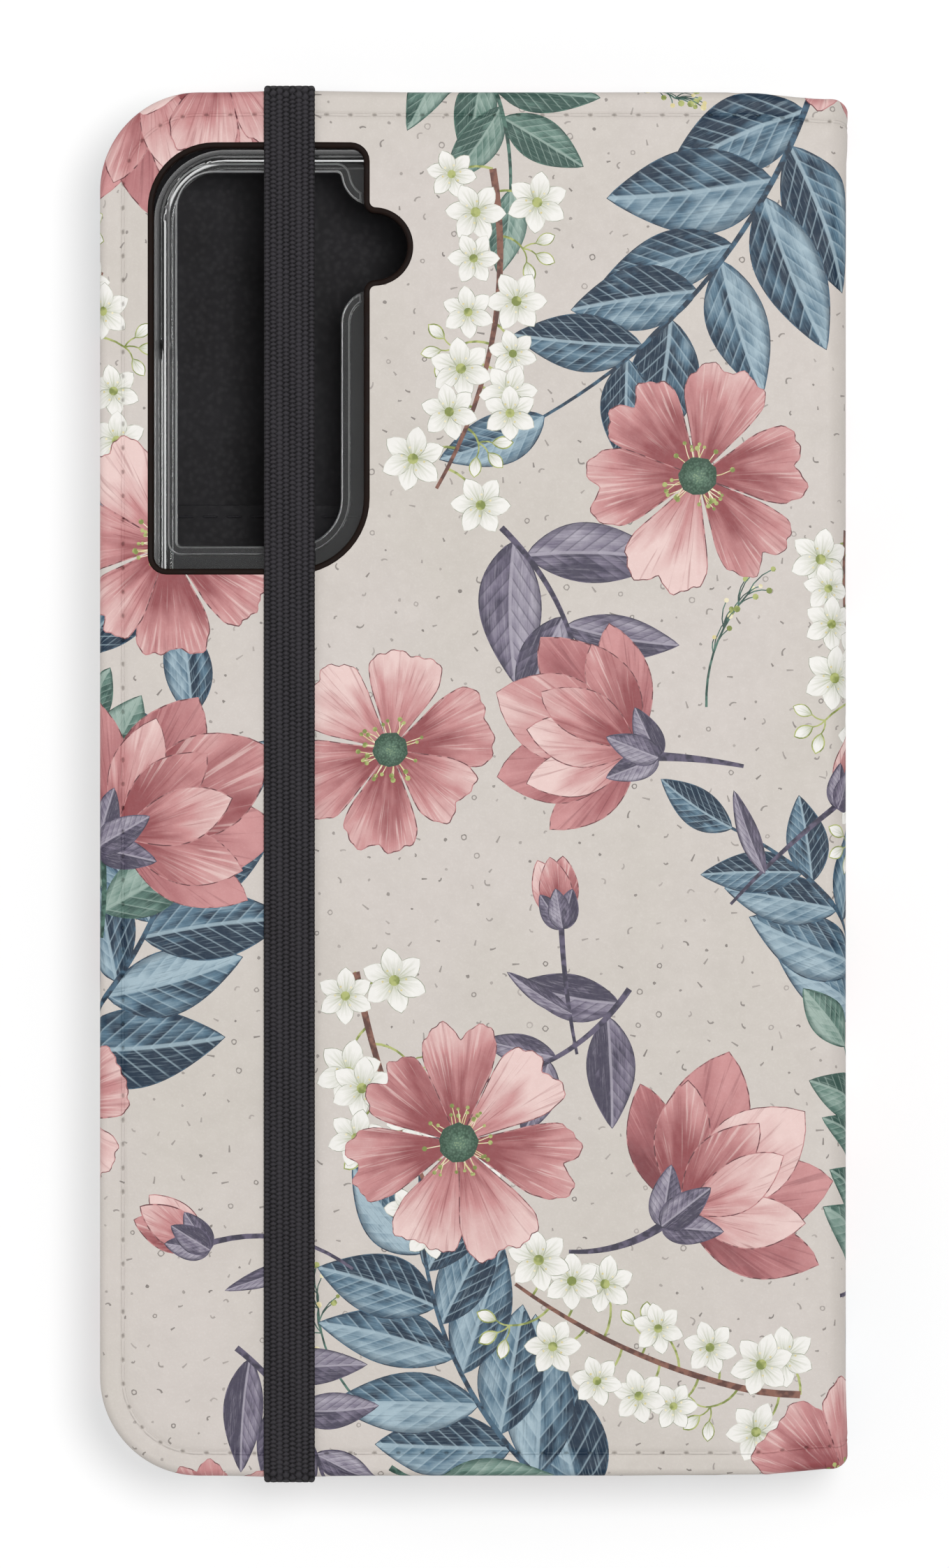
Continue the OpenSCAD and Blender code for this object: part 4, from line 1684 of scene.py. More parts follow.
@dataclass(frozen=True)
class PocketLeather(Finish):
    """Near-black synthetic leather with a pebbled grain."""

    name: str = "black grained pocket leather"
    dark: str = "#19181A"
    light: str = "#242326"

    def surface(self, add: Callable[..., Flow]) -> Flow:
        """Pebbles that stand up from creases, which are a little less rough.

        Args:
            add: The tree's own function for a node.

        Returns:
            The surface.
        """
        place = add(Kind.PLACE)
        pebbles = add(Kind.CELLS, place, 1500.0, feature="SMOOTH_F1")
        shade = add(Kind.RAMP, add(Kind.NOISE, place, 90.0, 3.0), stops=self.ramp(0.35, 0.7))
        return add(Kind.SURFACE, shade, add(Kind.STEP, pebbles, 0.1, 0.6, 0.62, 0.75), 0.22,
                   add(Kind.BUMP, pebbles, -0.00006, 0.4))


@dataclass(frozen=True)
class Board(Finish):
    """Grey-brown pressed board with short fibres."""

    name: str = "grey pressed board"
    dark: str = "#8F826B"
    light: str = "#BBAE94"

    def surface(self, add: Callable[..., Flow]) -> Flow:
        """Matt, with fibres in its colour and its relief.

        Args:
            add: The tree's own function for a node.

        Returns:
            The surface.
        """
        fibre = add(Kind.NOISE, add(Kind.PLACE), 1400.0, 4.0, 0.7)
        shade = add(Kind.RAMP, fibre, stops=self.ramp(0.3, 0.7))
        return add(Kind.SURFACE, shade, 0.9, 0.5, add(Kind.BUMP, fibre, 0.00008, 0.5))


@dataclass(frozen=True)
class EdgePaint(Finish):
    """Brown-black edge paint, nearly matt, with the slight unevenness of a brushed coat."""

    name: str = "brown-black edge paint"
    dark: str = "#150B08"
    light: str = "#1E110B"

    def surface(self, add: Callable[..., Flow]) -> Flow:
        """One unevenness in its colour, roughness and relief.

        Args:
            add: The tree's own function for a node.

        Returns:
            The surface.
        """
        coat = add(Kind.NOISE, add(Kind.PLACE), 700.0)
        shade = add(Kind.RAMP, coat, stops=self.ramp(0.3, 0.75))
        return add(Kind.SURFACE, shade, add(Kind.STEP, coat, 0.3, 0.7, 0.58, 0.7), 0.12,
                   add(Kind.BUMP, coat, 0.00003, 0.4))


@dataclass(frozen=True)
class Foam(Finish):
    """Dark closed-cell adhesive foam."""

    name: str = "dark adhesive foam"
    dark: str = "#2B2B2E"
    light: str = "#3D3D41"

    def surface(self, add: Callable[..., Flow]) -> Flow:
        """Fine cells in its colour and its relief.

        Args:
            add: The tree's own function for a node.

        Returns:
            The surface.
        """
        cells = add(Kind.CELLS, add(Kind.PLACE), 4000.0)
        shade = add(Kind.RAMP, cells, stops=self.ramp(0.0, 0.6))
        return add(Kind.SURFACE, shade, 0.85, 0.5, add(Kind.BUMP, cells, 0.00005, 0.5))


@dataclass(frozen=True)
class ClearPolycarbonate(Finish):
    """Clear moulded polycarbonate with polished faces, a faint grey tint and a trace of haze."""

    name: str = "clear moulded polycarbonate"
    dark: str = "#E1E2E2"
    light: str = "#EEEFEF"

    def surface(self, add: Callable[..., Flow]) -> Flow:
        """Lets nearly all light through."""
        shade = add(Kind.RAMP, add(Kind.NOISE, add(Kind.PLACE), 60.0), stops=self.ramp(0.3, 0.7))
        return add(Kind.SURFACE, shade, 0.03, 0.5, more={"IOR": 1.58, "Transmission Weight": 0.985})


@dataclass(frozen=True)
class FrostedEdge(Finish):
    """The same polycarbonate along its rounded edges, where the mould leaves it slightly frosted."""

    name: str = "frosted polycarbonate edge"
    dark: str = "#D7D8D8"
    light: str = "#E9EAEA"

    def surface(self, add: Callable[..., Flow]) -> Flow:
        """Scatters the light that it lets through."""
        shade = add(Kind.RAMP, add(Kind.NOISE, add(Kind.PLACE), 1300.0, 3.0), stops=self.ramp(0.3, 0.7))
        return add(Kind.SURFACE, shade, 0.42, 0.4, more={"IOR": 1.58, "Transmission Weight": 0.93})


@dataclass(frozen=True)
class Elastic(Finish):
    """Charcoal braided elastic: matt polyester yarns, with painted shade that darkens the hollows between them."""

    name: str = "charcoal braided elastic"
    dark: str = "#050506"
    light: str = "#39373B"
    middle: str = "#1E1C1F"
    glint: str = "#47444A"

    def surface(self, add: Callable[..., Flow]) -> Flow:
        """Painted shade darkens its hollows and underside; lighter yarns along it are a painted glint.

        Args:
            add: The tree's own function for a node.

        Returns:
            The surface.
        """
        u, v, _ = add(Kind.STORED, attribute_name="own").parts()
        yarn = add(Kind.NOISE, add(Kind.VECTOR, u * 30.0, v * 900.0, 0.0), 1.0, 3.0)
        # painted shade: the colour runs from black in the braid's hollows to charcoal on its stitches
        shade = add(Kind.RAMP, add(Kind.NUMBER, attribute_name="height"),
                    stops=((0.2, self.dark), (0.62, self.middle), (1.0, self.light)))
        shade = add(Kind.MIX, add(Kind.STEP, yarn, 0.4, 0.7, 0.0, 0.25), shade, self.glint)
        return add(Kind.SURFACE, shade, 0.85, 0.2, add(Kind.BUMP, yarn, 0.00002, 0.3), more={"Sheen Weight": 0.04})


@dataclass(frozen=True)
class Thread(Finish):
    """Sewing thread with two twisted plies."""

    name: str = "black polyester thread"
    dark: str = "#0B0B0D"
    light: str = "#2E2D32"

    def surface(self, add: Callable[..., Flow]) -> Flow:
        """A sine of the place round the thread and along it, for the plies, with painted shade between them.

        Args:
            add: The tree's own function for a node.

        Returns:
            The surface.
        """
        u, v, _ = add(Kind.STORED, attribute_name="own").parts()
        twist = add(Kind.MATH, u * 40.0 + v * 6.283, operation="SINE")
        share = add(Kind.MATH, twist, 0.5, 0.5, operation="MULTIPLY_ADD")
        # painted shade: darker where the plies sink
        shade = add(Kind.RAMP, share, stops=self.ramp(0.1, 0.8))
        return add(Kind.SURFACE, shade, 0.6, 0.3, add(Kind.BUMP, twist, 0.00003, 0.5))


# --- Sub-assemblies ---


@dataclass
class Assembly:
    """Something that is built from the case's sizes. Each one's own lengths are millimetres."""

    sizes: CaseSizes

    def build(self) -> None:
        """Makes its pieces."""
        raise NotImplementedError


def dressed(obj: Object, body: str, slot: str, *finishes: Finish) -> None:
    """Gives a piece its looks and hangs it on its body.

    Args:
        obj: The piece.
        body: The body that carries it.
        slot: Name of a material slot; it is not used.
        finishes: Its finishes, by material index.
    """
    for finish in finishes:
        obj.data.materials.append(finish.material())
    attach(obj, body)
    log.info("%s: %d faces", obj.name, len(obj.data.polygons))


def slab(name: str, outer: Array, inner: Array) -> Object:
    """Closes two grids of points into one sheet with a thickness.

    Args:
        name: Name of the piece.
        outer: Points of its outer face, as rows by columns by 3. Rows cross columns clockwise, seen from outside.
        inner: Points of its inner face, with as many rows and as many or fewer columns.

    Returns:
        The object.
    """
    rows, many, _ = outer.shape
    few = inner.shape[1]
    ring = np.concatenate((outer, inner[:, ::-1]), axis=1)
    faces = grid_faces(rows, many + few, wrap_columns=True)[:, ::-1]
    # each end is closed by triangles between the outer row and the point below it on the inner one
    j = np.arange(many)
    below = many + few - 1 - np.round(j * (few - 1) / (many - 1)).astype(int)
    down = np.column_stack((j[:-1], j[1:], below[:-1]))
    step = np.flatnonzero(np.diff(below))
    up = np.column_stack((j[step + 1], below[step + 1], below[step]))
    cap = np.vstack((down, up))
    return make_object(name, ring.reshape(-1, 3), faces, cap[:, ::-1], cap + (rows - 1) * (many + few))


@dataclass
class PrintedCover(Assembly):
    """The printed leather: five pieces that are cut from one unrolled print and meet at the folds."""

    BODIES = {"back_skin": "back_cover", "spine_skin": "spine", "front_skin": "front_cover"}

    def build(self) -> None:
        """Makes the five printed pieces, hangs the covers and spine on their bodies and bakes the folds in place."""
        artwork = Artwork(self.sizes.sheet_w, Artwork.HEIGHT)
        for node, region in cover_regions(self.sizes).items():
            obj = self.piece(node, region, artwork)
            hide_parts(node)
            if node in self.BODIES:
                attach(obj, self.BODIES[node])
            else:
                blend_fold(obj, self.sizes, node)

    def piece(self, node: str, region: Region, artwork: Artwork) -> Object:
        """Makes one printed piece, with its print cut into its faces.

        Args:
            node: The CAD node that it stands for.
            region: Its part of the unrolled cover.
            artwork: The print.

        Returns:
            The object.
        """
        patches = artwork.patches(region.start - 1, region.start + region.width + 1)
        if node == "back_skin":
            patches.append(Patch(window_path(self.sizes) - (self.sizes.fore_x, 0), Ink.CUT))
        cut = PlanarMap(region.border(), patches, region.lines())
        obj = make_object(f"printed_{node}", region.place(cut.points), cut.triangles)
        mesh = obj.data
        add_corner_uv(obj, cut.local_coordinates())
        facts = cut.corner_values(lambda p: (p.tone, p.bend, 0.0)).astype(np.float32)
        mesh.attributes.new("patch", "FLOAT_VECTOR", "CORNER").data.foreach_set("vector", facts.ravel())
        # how far each point lies in a needle hole, which the leather darkens as painted shade
        add_float(obj, "hole", region.seam(cut.points)[1])
        used = sorted({patch.ink for patch in cut.patches if patch.ink is not Ink.CUT}, key=list(Ink).index)
        for ink in used:
            mesh.materials.append(PrintedLeather(ink).material())
        slots = np.array([used.index(p.ink) if p.ink in used else 0 for p in cut.patches], np.int32)
        mesh.polygons.foreach_set("material_index", slots[cut.owners])
        mesh.normals_split_custom_set_from_vertices(region.normals(cut.points).tolist())
        log.info("%s: %d faces", obj.name, len(mesh.polygons))
        return obj


def blend_fold(obj: Object, sizes: CaseSizes, node: str) -> None:
    """Bakes a fold's place into its mesh. The points that it works out on the cover and the spine are not used.

    Args:
        obj: The piece.
        sizes: The case's sizes.
        node: The fold's CAD node.
    """
    z = sizes
    if node == "fold_back":
        metres(z.spine_x, 0, z.case_t - z.fold_r)
        metres(z.panel_end, 0, z.case_t)
        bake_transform(obj)
    else:
        metres(z.panel_end, 0, 0)
        metres(z.spine_x, 0, z.fold_r)
        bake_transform(obj)


@dataclass
class FoldLinings(Assembly):
    """The lining that runs on through the two folds."""

    #: thickness, distance from the skin, and how far the strips end inside the spine's ends
    thickness: float = 0.35
    gap: float = 0.03
    short: float = 0.9

    def build(self) -> None:
        """Makes a strip inside each fold."""
        z = self.sizes
        radius = z.fold_r - z.skin_t - self.gap
        for node, centre, first in (("fold_front", z.fold_r, -90.0), ("fold_back", z.case_t - z.fold_r, 0.0)):
            obj = slab(f"{node}_lining", *(self.sheet(centre, first, r) for r in (radius, radius - self.thickness)))
            obj.data.materials.append(Suede().material())
            blend_fold(obj, z, node)

    def sheet(self, centre: float, first: float, radius: float) -> Array:
        """One face of a strip: an arc carried along y.

        Args:
            centre: Height of the fold's centre.
            first: The angle at which it starts, in degrees.
            radius: Its radius.

        Returns:
            A grid of points.
        """
        z = self.sizes
        bend = arc((z.panel_end, centre), radius, first, first + 90, 12)
        y = np.linspace(self.short - z.spine_half_h, z.spine_half_h - self.short, 60)
        grid = np.empty((len(bend), len(y), 3))
        grid[..., 0], grid[..., 1], grid[..., 2] = bend[:, :1], y, bend[:, 1:]
        return grid


@dataclass
class WindowTrim(Assembly):
    """The painted edge of the camera window: a narrow domed lip with a soft wall down through the cover."""

    #: how far the lip's foot lies below the cover's face, how high it domes and how far its inner edge drops
    sunk: float = 0.12
    dome: float = 0.15
    drop: float = 0.25

    def build(self) -> None:
        """Carries the lip's profile round the window: up the wall, over a dome and down inside."""
        z = self.sizes
        foot = z.case_t - z.back_z - self.sunk
        share = np.linspace(0, 1, 9)
        lip = np.column_stack((z.trim_w * (0.5 - 0.5 * np.cos(np.pi * share)),
                               foot + self.dome * np.sin(np.pi * share) ** 0.6 - self.drop * share**6))
        rings = []
        for inset, up in ((0.0, 0.0), (0.0, foot), *lip, (z.trim_w, 0.0)):
            path = window_path(z, inset, 16)
            rings.append(np.column_stack((path, np.full(len(path), z.back_z + up))))
        faces = grid_faces(len(rings), len(rings[0]), wrap_rows=True, wrap_columns=True)[:, ::-1]
        obj = make_object("window_edge_trim", np.vstack(rings), faces)
        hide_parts("window_trim")
        dressed(obj, "back_cover", "edge_paint", EdgePaint())


@dataclass
class Strap(Assembly):
    """The braided elastic strap: one braid along one path, in a span, two turns and two sewn ends."""

    #: columns of stitches, and how far a stitch bulges into its neighbours as a share of a column
    columns: int = 8
    interlock: float = 0.16
    #: length of a stitch, radii round the cover's edge and over its lining, and length of a sewn end
    stitch: float = 0.53
    outer_r: float = 0.7
    inner_r: float = 0.6
    tab: float = 5.2
    #: the columns of points that the smooth underside keeps, of the six to every column of stitches
    UNDER = np.array((0, 1, 3, 12, 24, 36, 45, 47, 48))

    @property
    def bend_r(self) -> float:
        """Radius of the strap's underside round the cover's edge."""
        return self.outer_r + self.sizes.strap_z - self.sizes.case_t

    @property
    def leg(self) -> float:
        """Length of the strap's straight part across the cover's edge."""
        return self.sizes.case_t - self.outer_r - self.sizes.back_z - self.inner_r

    @property
    def marks(self) -> Array:
        """Path lengths, from the middle of the span, at which the piece along the path changes."""
        return np.cumsum([self.sizes.half_h - self.outer_r, self.bend_r * math.pi / 2, self.leg,
                          self.inner_r * math.pi / 2, self.tab])

    def build(self) -> None:
        """Makes the span, which rides on the strap, the two turns, baked in place, and the two sewn ends."""
        z, ends, elastic = self.sizes, self.marks, Elastic()
        dressed(self.piece("strap_span", -ends[0], ends[0]), "strap", "elastic", elastic)
        for name, side in (("top", 1), ("bottom", -1)):
            turn = self.piece(f"strap_turn_{name}", *sorted((side * ends[0], side * ends[3])))
            turn.data.materials.append(elastic.material())
            metres(z.strap_x, side * (z.half_h + 0.5), z.back_z)
            metres(z.strap_x, side * (z.half_h + 0.5), z.strap_z)
            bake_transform(turn)
            anchor = self.piece(f"strap_anchor_{name}", *sorted((side * ends[3], side * ends[4])))
            dressed(anchor, "back_cover", "elastic", elastic)

    def path(self, s: Array) -> tuple[Array, Array, Array]:
        """Follows the strap's underside: straight, round the cover's edge, down, round its lining and back.

        Args:
            s: Path lengths from the middle of the span.

        Returns:
            The underside's y and z, and the direction's angle.
        """
        z = self.sizes
        side, s = np.sign(s), np.abs(s)
        one = np.clip(s, 0, self.marks[0])
        two = np.clip((s - self.marks[0]) / self.bend_r, 0, math.pi / 2)
        three = np.clip(s - self.marks[1], 0, self.leg)
        four = np.clip((s - self.marks[2]) / self.inner_r, 0, math.pi / 2)
        five = np.clip(s - self.marks[3], 0, None)
        y = one + self.bend_r * np.sin(two) - self.inner_r * (1 - np.cos(four)) - five
        up = z.strap_z - self.bend_r * (1 - np.cos(two)) - three - self.inner_r * np.sin(four)
        return side * y, up, side * (two + four)

    def rows(self, column: Array, along: Array) -> Array:
        """Counts the stitches of a column up to a path length, half a stitch apart from column to column."""
        wave = 0.10 * np.sin(along * 0.9 + column * 2.1) + 0.08 * np.sin(along * 2.3 + column * 1.3)
        return along / self.stitch + 0.5 * (column % 2) + wave

    def interlocked(self, across: Array, along: Array) -> Array:
        """Shifts the borders between columns, so that each stitch bulges into the hollows of its neighbours.

        Args:
            across: Distance from the strap's left edge, as a share of its width.
            along: Path length in millimetres.

        Returns:
            The shifted shares.
        """
        border = np.round(across * self.columns)
        near = np.clip(1 - 2.2 * np.abs(across * self.columns - border), 0, 1)
        inside = (border > 0) & (border < self.columns)
        bulge = -np.cos(2 * np.pi * self.rows(border - 1, along)) * near * inside
        return across + self.interlock * bulge / self.columns

    def braid(self, across: Array, along: Array) -> Array:
        """Height of the braid: rows of small domes with pointed ends, apart from column to column.

        Args:
            across: Distance from the strap's left edge, as a share of its width, before the columns interlock.
            along: Path length in millimetres.

        Returns:
            0 in its hollows to 1 on its stitches.
        """
        column = np.clip(np.floor(across * self.columns), 0, self.columns - 1)
        x = 2 * (across * self.columns - column) - 1
        row = self.rows(column, along)
        y = 2 * (row - np.floor(row)) - 1
        y = y + 0.42 * np.abs(x) - 0.16
        y = y - 2 * np.round(y / 2)
        tight = 0.5 + 0.5 * np.sin(1.9 * column + 0.7) + 0.25 * np.sin(along * 0.37 + column)
        dome = 1 - (0.6 + 0.2 * tight) * np.abs(x) ** 2.2 - (0.62 + 0.28 * tight) * np.abs(y) ** 2.4
        return np.sqrt(np.clip(dome, 0, 1))

    def piece(self, name: str, start: float, end: float) -> Object:
        """Makes the strap between two path lengths, with round sides and the braid on its upper face.

        Args:
            name: The CAD node that it stands for.
            start: Where it starts.
            end: Where it ends.

        Returns:
            The object.
        """
        z = self.sizes
        count = max(8, int(round((end - start) / (self.stitch / 5))))
        s = np.linspace(start, end, count)
        across = np.linspace(0, 1, 6 * self.columns + 1)
        y, up, lean = self.path(s)
        grid_s, grid_x = np.meshgrid(s, across, indexing="ij")
        height = self.braid(grid_x, grid_s)
        edge = np.clip(1 - np.abs(2 * grid_x - 1), 0, 1) * z.strap_w / 2
        round_off = np.sqrt(np.clip(1 - (1 - np.clip(edge / 0.42, 0, 1)) ** 2, 0, 1))
        swell = 0.06 * (height - 0.6) * (edge < 0.2)
        side = np.sign(grid_x - 0.5)
        x = z.strap_x + (self.interlocked(grid_x, grid_s) - 0.5) * z.strap_w + side * swell
        thick = z.strap_t * (0.42 + 0.40 * round_off) + 0.17 * (height - 0.35) * round_off

        def lifted(t: Array) -> Array:
            """Points at heights above the underside, square to its direction."""
            return np.stack((x, y[:, None] + t * np.sin(lean)[:, None], up[:, None] + t * np.cos(lean)[:, None]), -1)

        low = z.strap_t * 0.38 * (1 - round_off) + 0.02
        obj = slab(name, lifted(thick), lifted(low)[:, self.UNDER])
        ring = np.concatenate((np.arange(len(across)), self.UNDER[::-1]))
        # painted shade: the underside's braid heights are cut to 0.6, which darkens it in the elastic's colour ramp
        underside_shade = np.where(np.arange(len(ring)) < len(across), 1.0, 0.6)
        add_float(obj, "height", (height[:, ring] * underside_shade).ravel())
        add_uv(obj, np.stack((grid_x, grid_s * 0.01), -1)[:, ring].reshape(-1, 2))
        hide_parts(name)
        obj.name = f"braided_{name}"
        return obj


@dataclass(frozen=True)
class Seam:
    """A row of lock stitches on a face that looks up or down.

    Args:
        path: Where the seam runs, as points in millimetres.
        up: 1 for a face that looks up and -1 for one that looks down.
        pitch: Distance from stitch to stitch.
        length: Length of the thread that shows of one stitch.
        radius: Radius of the thread.
    """

    path: Array
    up: float = 1.0
    pitch: float = 2.8
    length: float = 2.1
    radius: float = 0.13

    #: places along a stitch, and points round it at each
    RINGS = 9
    SIDES = 8

    def stitches(self) -> tuple[Array, Array]:
        """Makes all the stitches, each a short tube whose two ends dive into the leather.

        A stitch's middle stands three quarters of its radius proud, and sinks with the fourth power of the distance
        from it. Its tube has SIDES points round it at each of RINGS places.

        Returns:
            The points and their (u, v).
        """
        steps = np.linalg.norm(np.diff(self.path, axis=0), axis=1)
        at = np.concatenate(([0], np.cumsum(steps)))
        count = max(1, int(round(at[-1] / self.pitch)))
        share = np.linspace(-1, 1, self.RINGS)
        place = ((np.arange(count) + 0.5) * at[-1] / count)[:, None] + share * self.length / 2
        centre = np.stack([np.interp(place, at, self.path[:, k]) for k in range(3)], -1)
        along = np.gradient(centre, axis=1)
        along /= np.linalg.norm(along, axis=-1, keepdims=True)
        up = np.array((0.0, 0.0, self.up))
        aside = np.cross(along, up)
        centre = centre + up * (self.radius * (0.75 - 1.9 * share**4))[:, None]
        a = np.linspace(0, 2 * np.pi, self.SIDES, endpoint=False)
        fat = (self.radius * np.sqrt(np.clip(1.02 - share**6, 0.02, 1)))[:, None, None]
        tube = (np.cos(a)[:, None] * aside[:, :, None, :] + np.sin(a)[:, None] * up) * fat
        own = np.stack(np.broadcast_arrays(share[None, :, None], (np.arange(self.SIDES) / self.SIDES)[None, None],
                                           np.zeros((count, 1, 1))), -1)[..., :2]
        return (centre[:, :, None, :] + tube).reshape(-1, 3), own.reshape(-1, 2)

    @classmethod
    def sewn(cls, name: str, seams: Sequence["Seam"]) -> Object:
        """Makes one mesh of several seams, with closed ends on every stitch.

        Args:
            name: Name of the piece.
            seams: The seams.

        Returns:
            The object.
        """
        parts = [seam.stitches() for seam in seams]
        points = np.vstack([part[0] for part in parts])
        tube = grid_faces(cls.RINGS, cls.SIDES, wrap_columns=True)
        first = np.arange(0, len(points), cls.RINGS * cls.SIDES)
        cap = np.array(((0, 1, 2, 3), (0, 3, 4, 7), (4, 5, 6, 7)))
        one = np.vstack((tube, cap, cap[:, ::-1] + (cls.RINGS - 1) * cls.SIDES))
        obj = make_object(name, points, (one[None] + first[:, None, None]).reshape(-1, 4))
        add_uv(obj, np.vstack([part[1] for part in parts]))
        return obj


@dataclass
class InnerSeams(Assembly):
    """The covers' seams as they show on the inside, and the short seams at the ends of the card slots."""

    @property
    def edge_x(self) -> float:
        """Where the seams run along the fore-edge."""
        return self.sizes.fore_x + self.sizes.seam_inset

    @property
    def edge_y(self) -> float:
        """Where the seams run along the top edge."""
        return self.sizes.half_h - self.sizes.seam_inset

    def build(self) -> None:
        """Makes one piece of thread for each cover."""
        for name, body, seams in (("front_inner_stitches", "front_cover", self.front()),
                                  ("back_inner_stitches", "back_cover", self.back())):
            dressed(Seam.sewn(name, seams), body, "elastic", Thread())

    @staticmethod
    def line(height: float, *corners: Sequence[float]) -> Array:
        """Points at one height through corners in plan."""
        return np.column_stack((np.array(corners), np.full(len(corners), height)))

    def bow(self, side: int) -> list[tuple[float, float]]:
        """The seam's round corner in plan, from the fore-edge on.

        Args:
            side: 1 for the top edge and -1 for the bottom one.

        Returns:
            Its points.
        """
        z = self.sizes
        centre = (z.fore_x + z.cover_corner, side * (z.half_h - z.cover_corner))
        return [tuple(p) for p in arc(centre, z.cover_corner - z.seam_inset, 180, 180 - side * 90, 16)]

    def front(self) -> list[Seam]:
        """Through the lining, the slip pocket and the card slots.

        Returns:
            The front cover's seams.
        """
        slip, lining = span("slip_pocket"), span("front_lining")
        cards = [span(f"card_pocket_{n}") for n in (1, 2, 3)]
        low, high, top = cards[0][0][1], cards[0][1][1], cards[0][1][2]
        out = [Seam(self.line(top, (self.edge_x, low + 2.6), (self.edge_x, high - 2.6)))]
        for side, end in ((1, high), (-1, low)):
            y = side * self.edge_y
            corner = ((self.edge_x, end + side * 0.8), *self.bow(side), (slip[1][0] - 0.8, y))
            out += [Seam(self.line(slip[1][2], *corner)),
                    Seam(self.line(lining[1][2], (slip[1][0] + 0.8, y), (lining[1][0] - 0.8, y)))]
            y, left = end - side * 1.4, self.edge_x
            for card in cards:
                out.append(Seam(self.line(card[1][2], (left, y), (card[1][0] - 1.0, y))))
                left = card[1][0] + 0.8
        return out

    def back(self) -> list[Seam]:
        """Through the lining and the sewn ends of the strap.

        Returns:
            The back cover's seams.
        """
        lining, down = span("back_lining"), self.sizes.back_z
        out = []
        for side, node in ((1, "strap_anchor_top"), (-1, "strap_anchor_bottom")):
            tab, y = span(node), side * self.edge_y
            out += [Seam(self.line(down, (self.edge_x, 0), *self.bow(side), (tab[0][0] - 0.5, y)), -1.0),
                    Seam(self.line(tab[0][2] + 0.06, (tab[0][0] + 0.4, y), (tab[1][0] - 0.4, y)), -1.0),
                    Seam(self.line(down, (tab[1][0] + 0.5, y), (lining[1][0] - 0.8, y)), -1.0)]
        return out


@dataclass
class ClearShell(Assembly):
    """The moulded phone shell: its CAD shape with the rims of its camera collar and of its mouth rounded."""

    #: radius of the rims, reach of one rounding error and longest edge that counts as stray
    rim_r: float = 0.22
    tiny: float = 0.001
    stray: float = 0.08
    #: the outline folds back on itself where its corner is sharper than this, in radians
    fold: float = 0.2

    def build(self) -> None:
        """Rounds a copy of the CAD mesh, merged first, and levels its shading."""
        mouth, crest = span("phone_shell")[:, 2]
        form = bmesh.new()
        form.from_mesh(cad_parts["phone_shell"].data)
        bmesh.ops.scale(form, vec=(1 / MM,) * 3, verts=form.verts)
        bmesh.ops.remove_doubles(form, verts=form.verts, dist=self.tiny)
        bmesh.ops.dissolve_limit(form, verts=form.verts, edges=form.edges, angle_limit=math.radians(0.2))
        self.round_mouth(form, mouth)
        self.round_crest(form, crest)
        bmesh.ops.scale(form, vec=(MM,) * 3, verts=form.verts)
        mesh = bpy.data.meshes.new("clear_phone_shell")
        form.to_mesh(mesh)
        form.free()
        mesh.shade_smooth()
        mesh.set_sharp_from_angle(angle=math.radians(40))
        obj = linked("clear_phone_shell", mesh)
        obj.modifiers.new("level faces", "WEIGHTED_NORMAL").keep_sharp = True
        dressed(obj, "back_cover", "clear_polycarbonate", ClearPolycarbonate(), FrostedEdge())
        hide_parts("phone_shell")

    def round_mouth(self, form: BMesh, level: float) -> None:
        """Bevels the sharp edges round the mouth that the phone snaps in through.

        Args:
            form: The shell.
            level: Height of the mouth.
        """
        rim = [edge for edge in form.edges if all(abs(v.co.z - level) < 10 * self.tiny for v in edge.verts)
               and edge.calc_face_angle(0) > math.radians(50)]
        bmesh.ops.bevel(form, geom=rim, offset=self.rim_r, offset_type="OFFSET", segments=3, profile=0.5,
                        affect="EDGES", clamp_overlap=True, material=1)

    def crest(self, form: BMesh, level: float) -> list[BMFace]:
        """Finds the flat top of the collar.

        Args:
            form: The shell.
            level: Its height.

        Returns:
            Its faces.
        """
        form.normal_update()
        return [face for face in form.faces
                if face.normal.z > 0.99 and abs(face.calc_center_median().z - level) < 10 * self.tiny]

    def clean_outline(self, form: BMesh, top: list[BMFace]) -> None:
        """Takes the hairline folds and shortest edges out of the top's outline, which would cross when inset.

        At the tip of a fold the outline turns back on itself. The tip moves on to its neighbour outside the fold.

        Args:
            form: The shell.
            top: The faces on top of the collar.
        """
        inside = set(top)
        rim = [edge for edge in form.edges if sum(face in inside for face in edge.link_faces) == 1]
        outline = set(rim)
        beside = {corner: [edge.other_vert(corner) for edge in corner.link_edges if edge in outline]
                  for edge in rim for corner in edge.verts}
        tips = [corner for corner, (one, two) in beside.items()
                if (one.co - corner.co).angle(two.co - corner.co) < self.fold]
        moves = {tip: next(other for other in beside[tip] if other not in tips) for tip in tips}
        bmesh.ops.weld_verts(form, targetmap=moves)
        bmesh.ops.remove_doubles(form, verts=[corner for corner in beside if corner.is_valid], dist=self.stray)

    def round_crest(self, form: BMesh, level: float) -> None:
        """Insets the collar's flat top in three steps that follow a quarter circle down to its walls.

        Args:
            form: The shell.
            level: Height of the top.
        """
        self.clean_outline(form, self.crest(form, level))
        top = self.crest(form, level)
        self.raise_top(form, top, -self.rim_r)
        turns = np.radians((0, 30, 60, 90))
        for inset, rise in zip(-self.rim_r * np.diff(np.cos(turns)), self.rim_r * np.diff(np.sin(turns))):
            band = bmesh.ops.inset_region(form, faces=top, thickness=float(inset), use_even_offset=True)
            for face in band["faces"]:
                face.material_index = 1
            self.raise_top(form, top, float(rise))

    @staticmethod
    def raise_top(form: BMesh, top: list[BMFace], rise: float) -> None:
        """Moves the top and its outline up or down."""
        bmesh.ops.translate(form, verts=list({corner for face in top for corner in face.verts}), vec=(0, 0, rise))


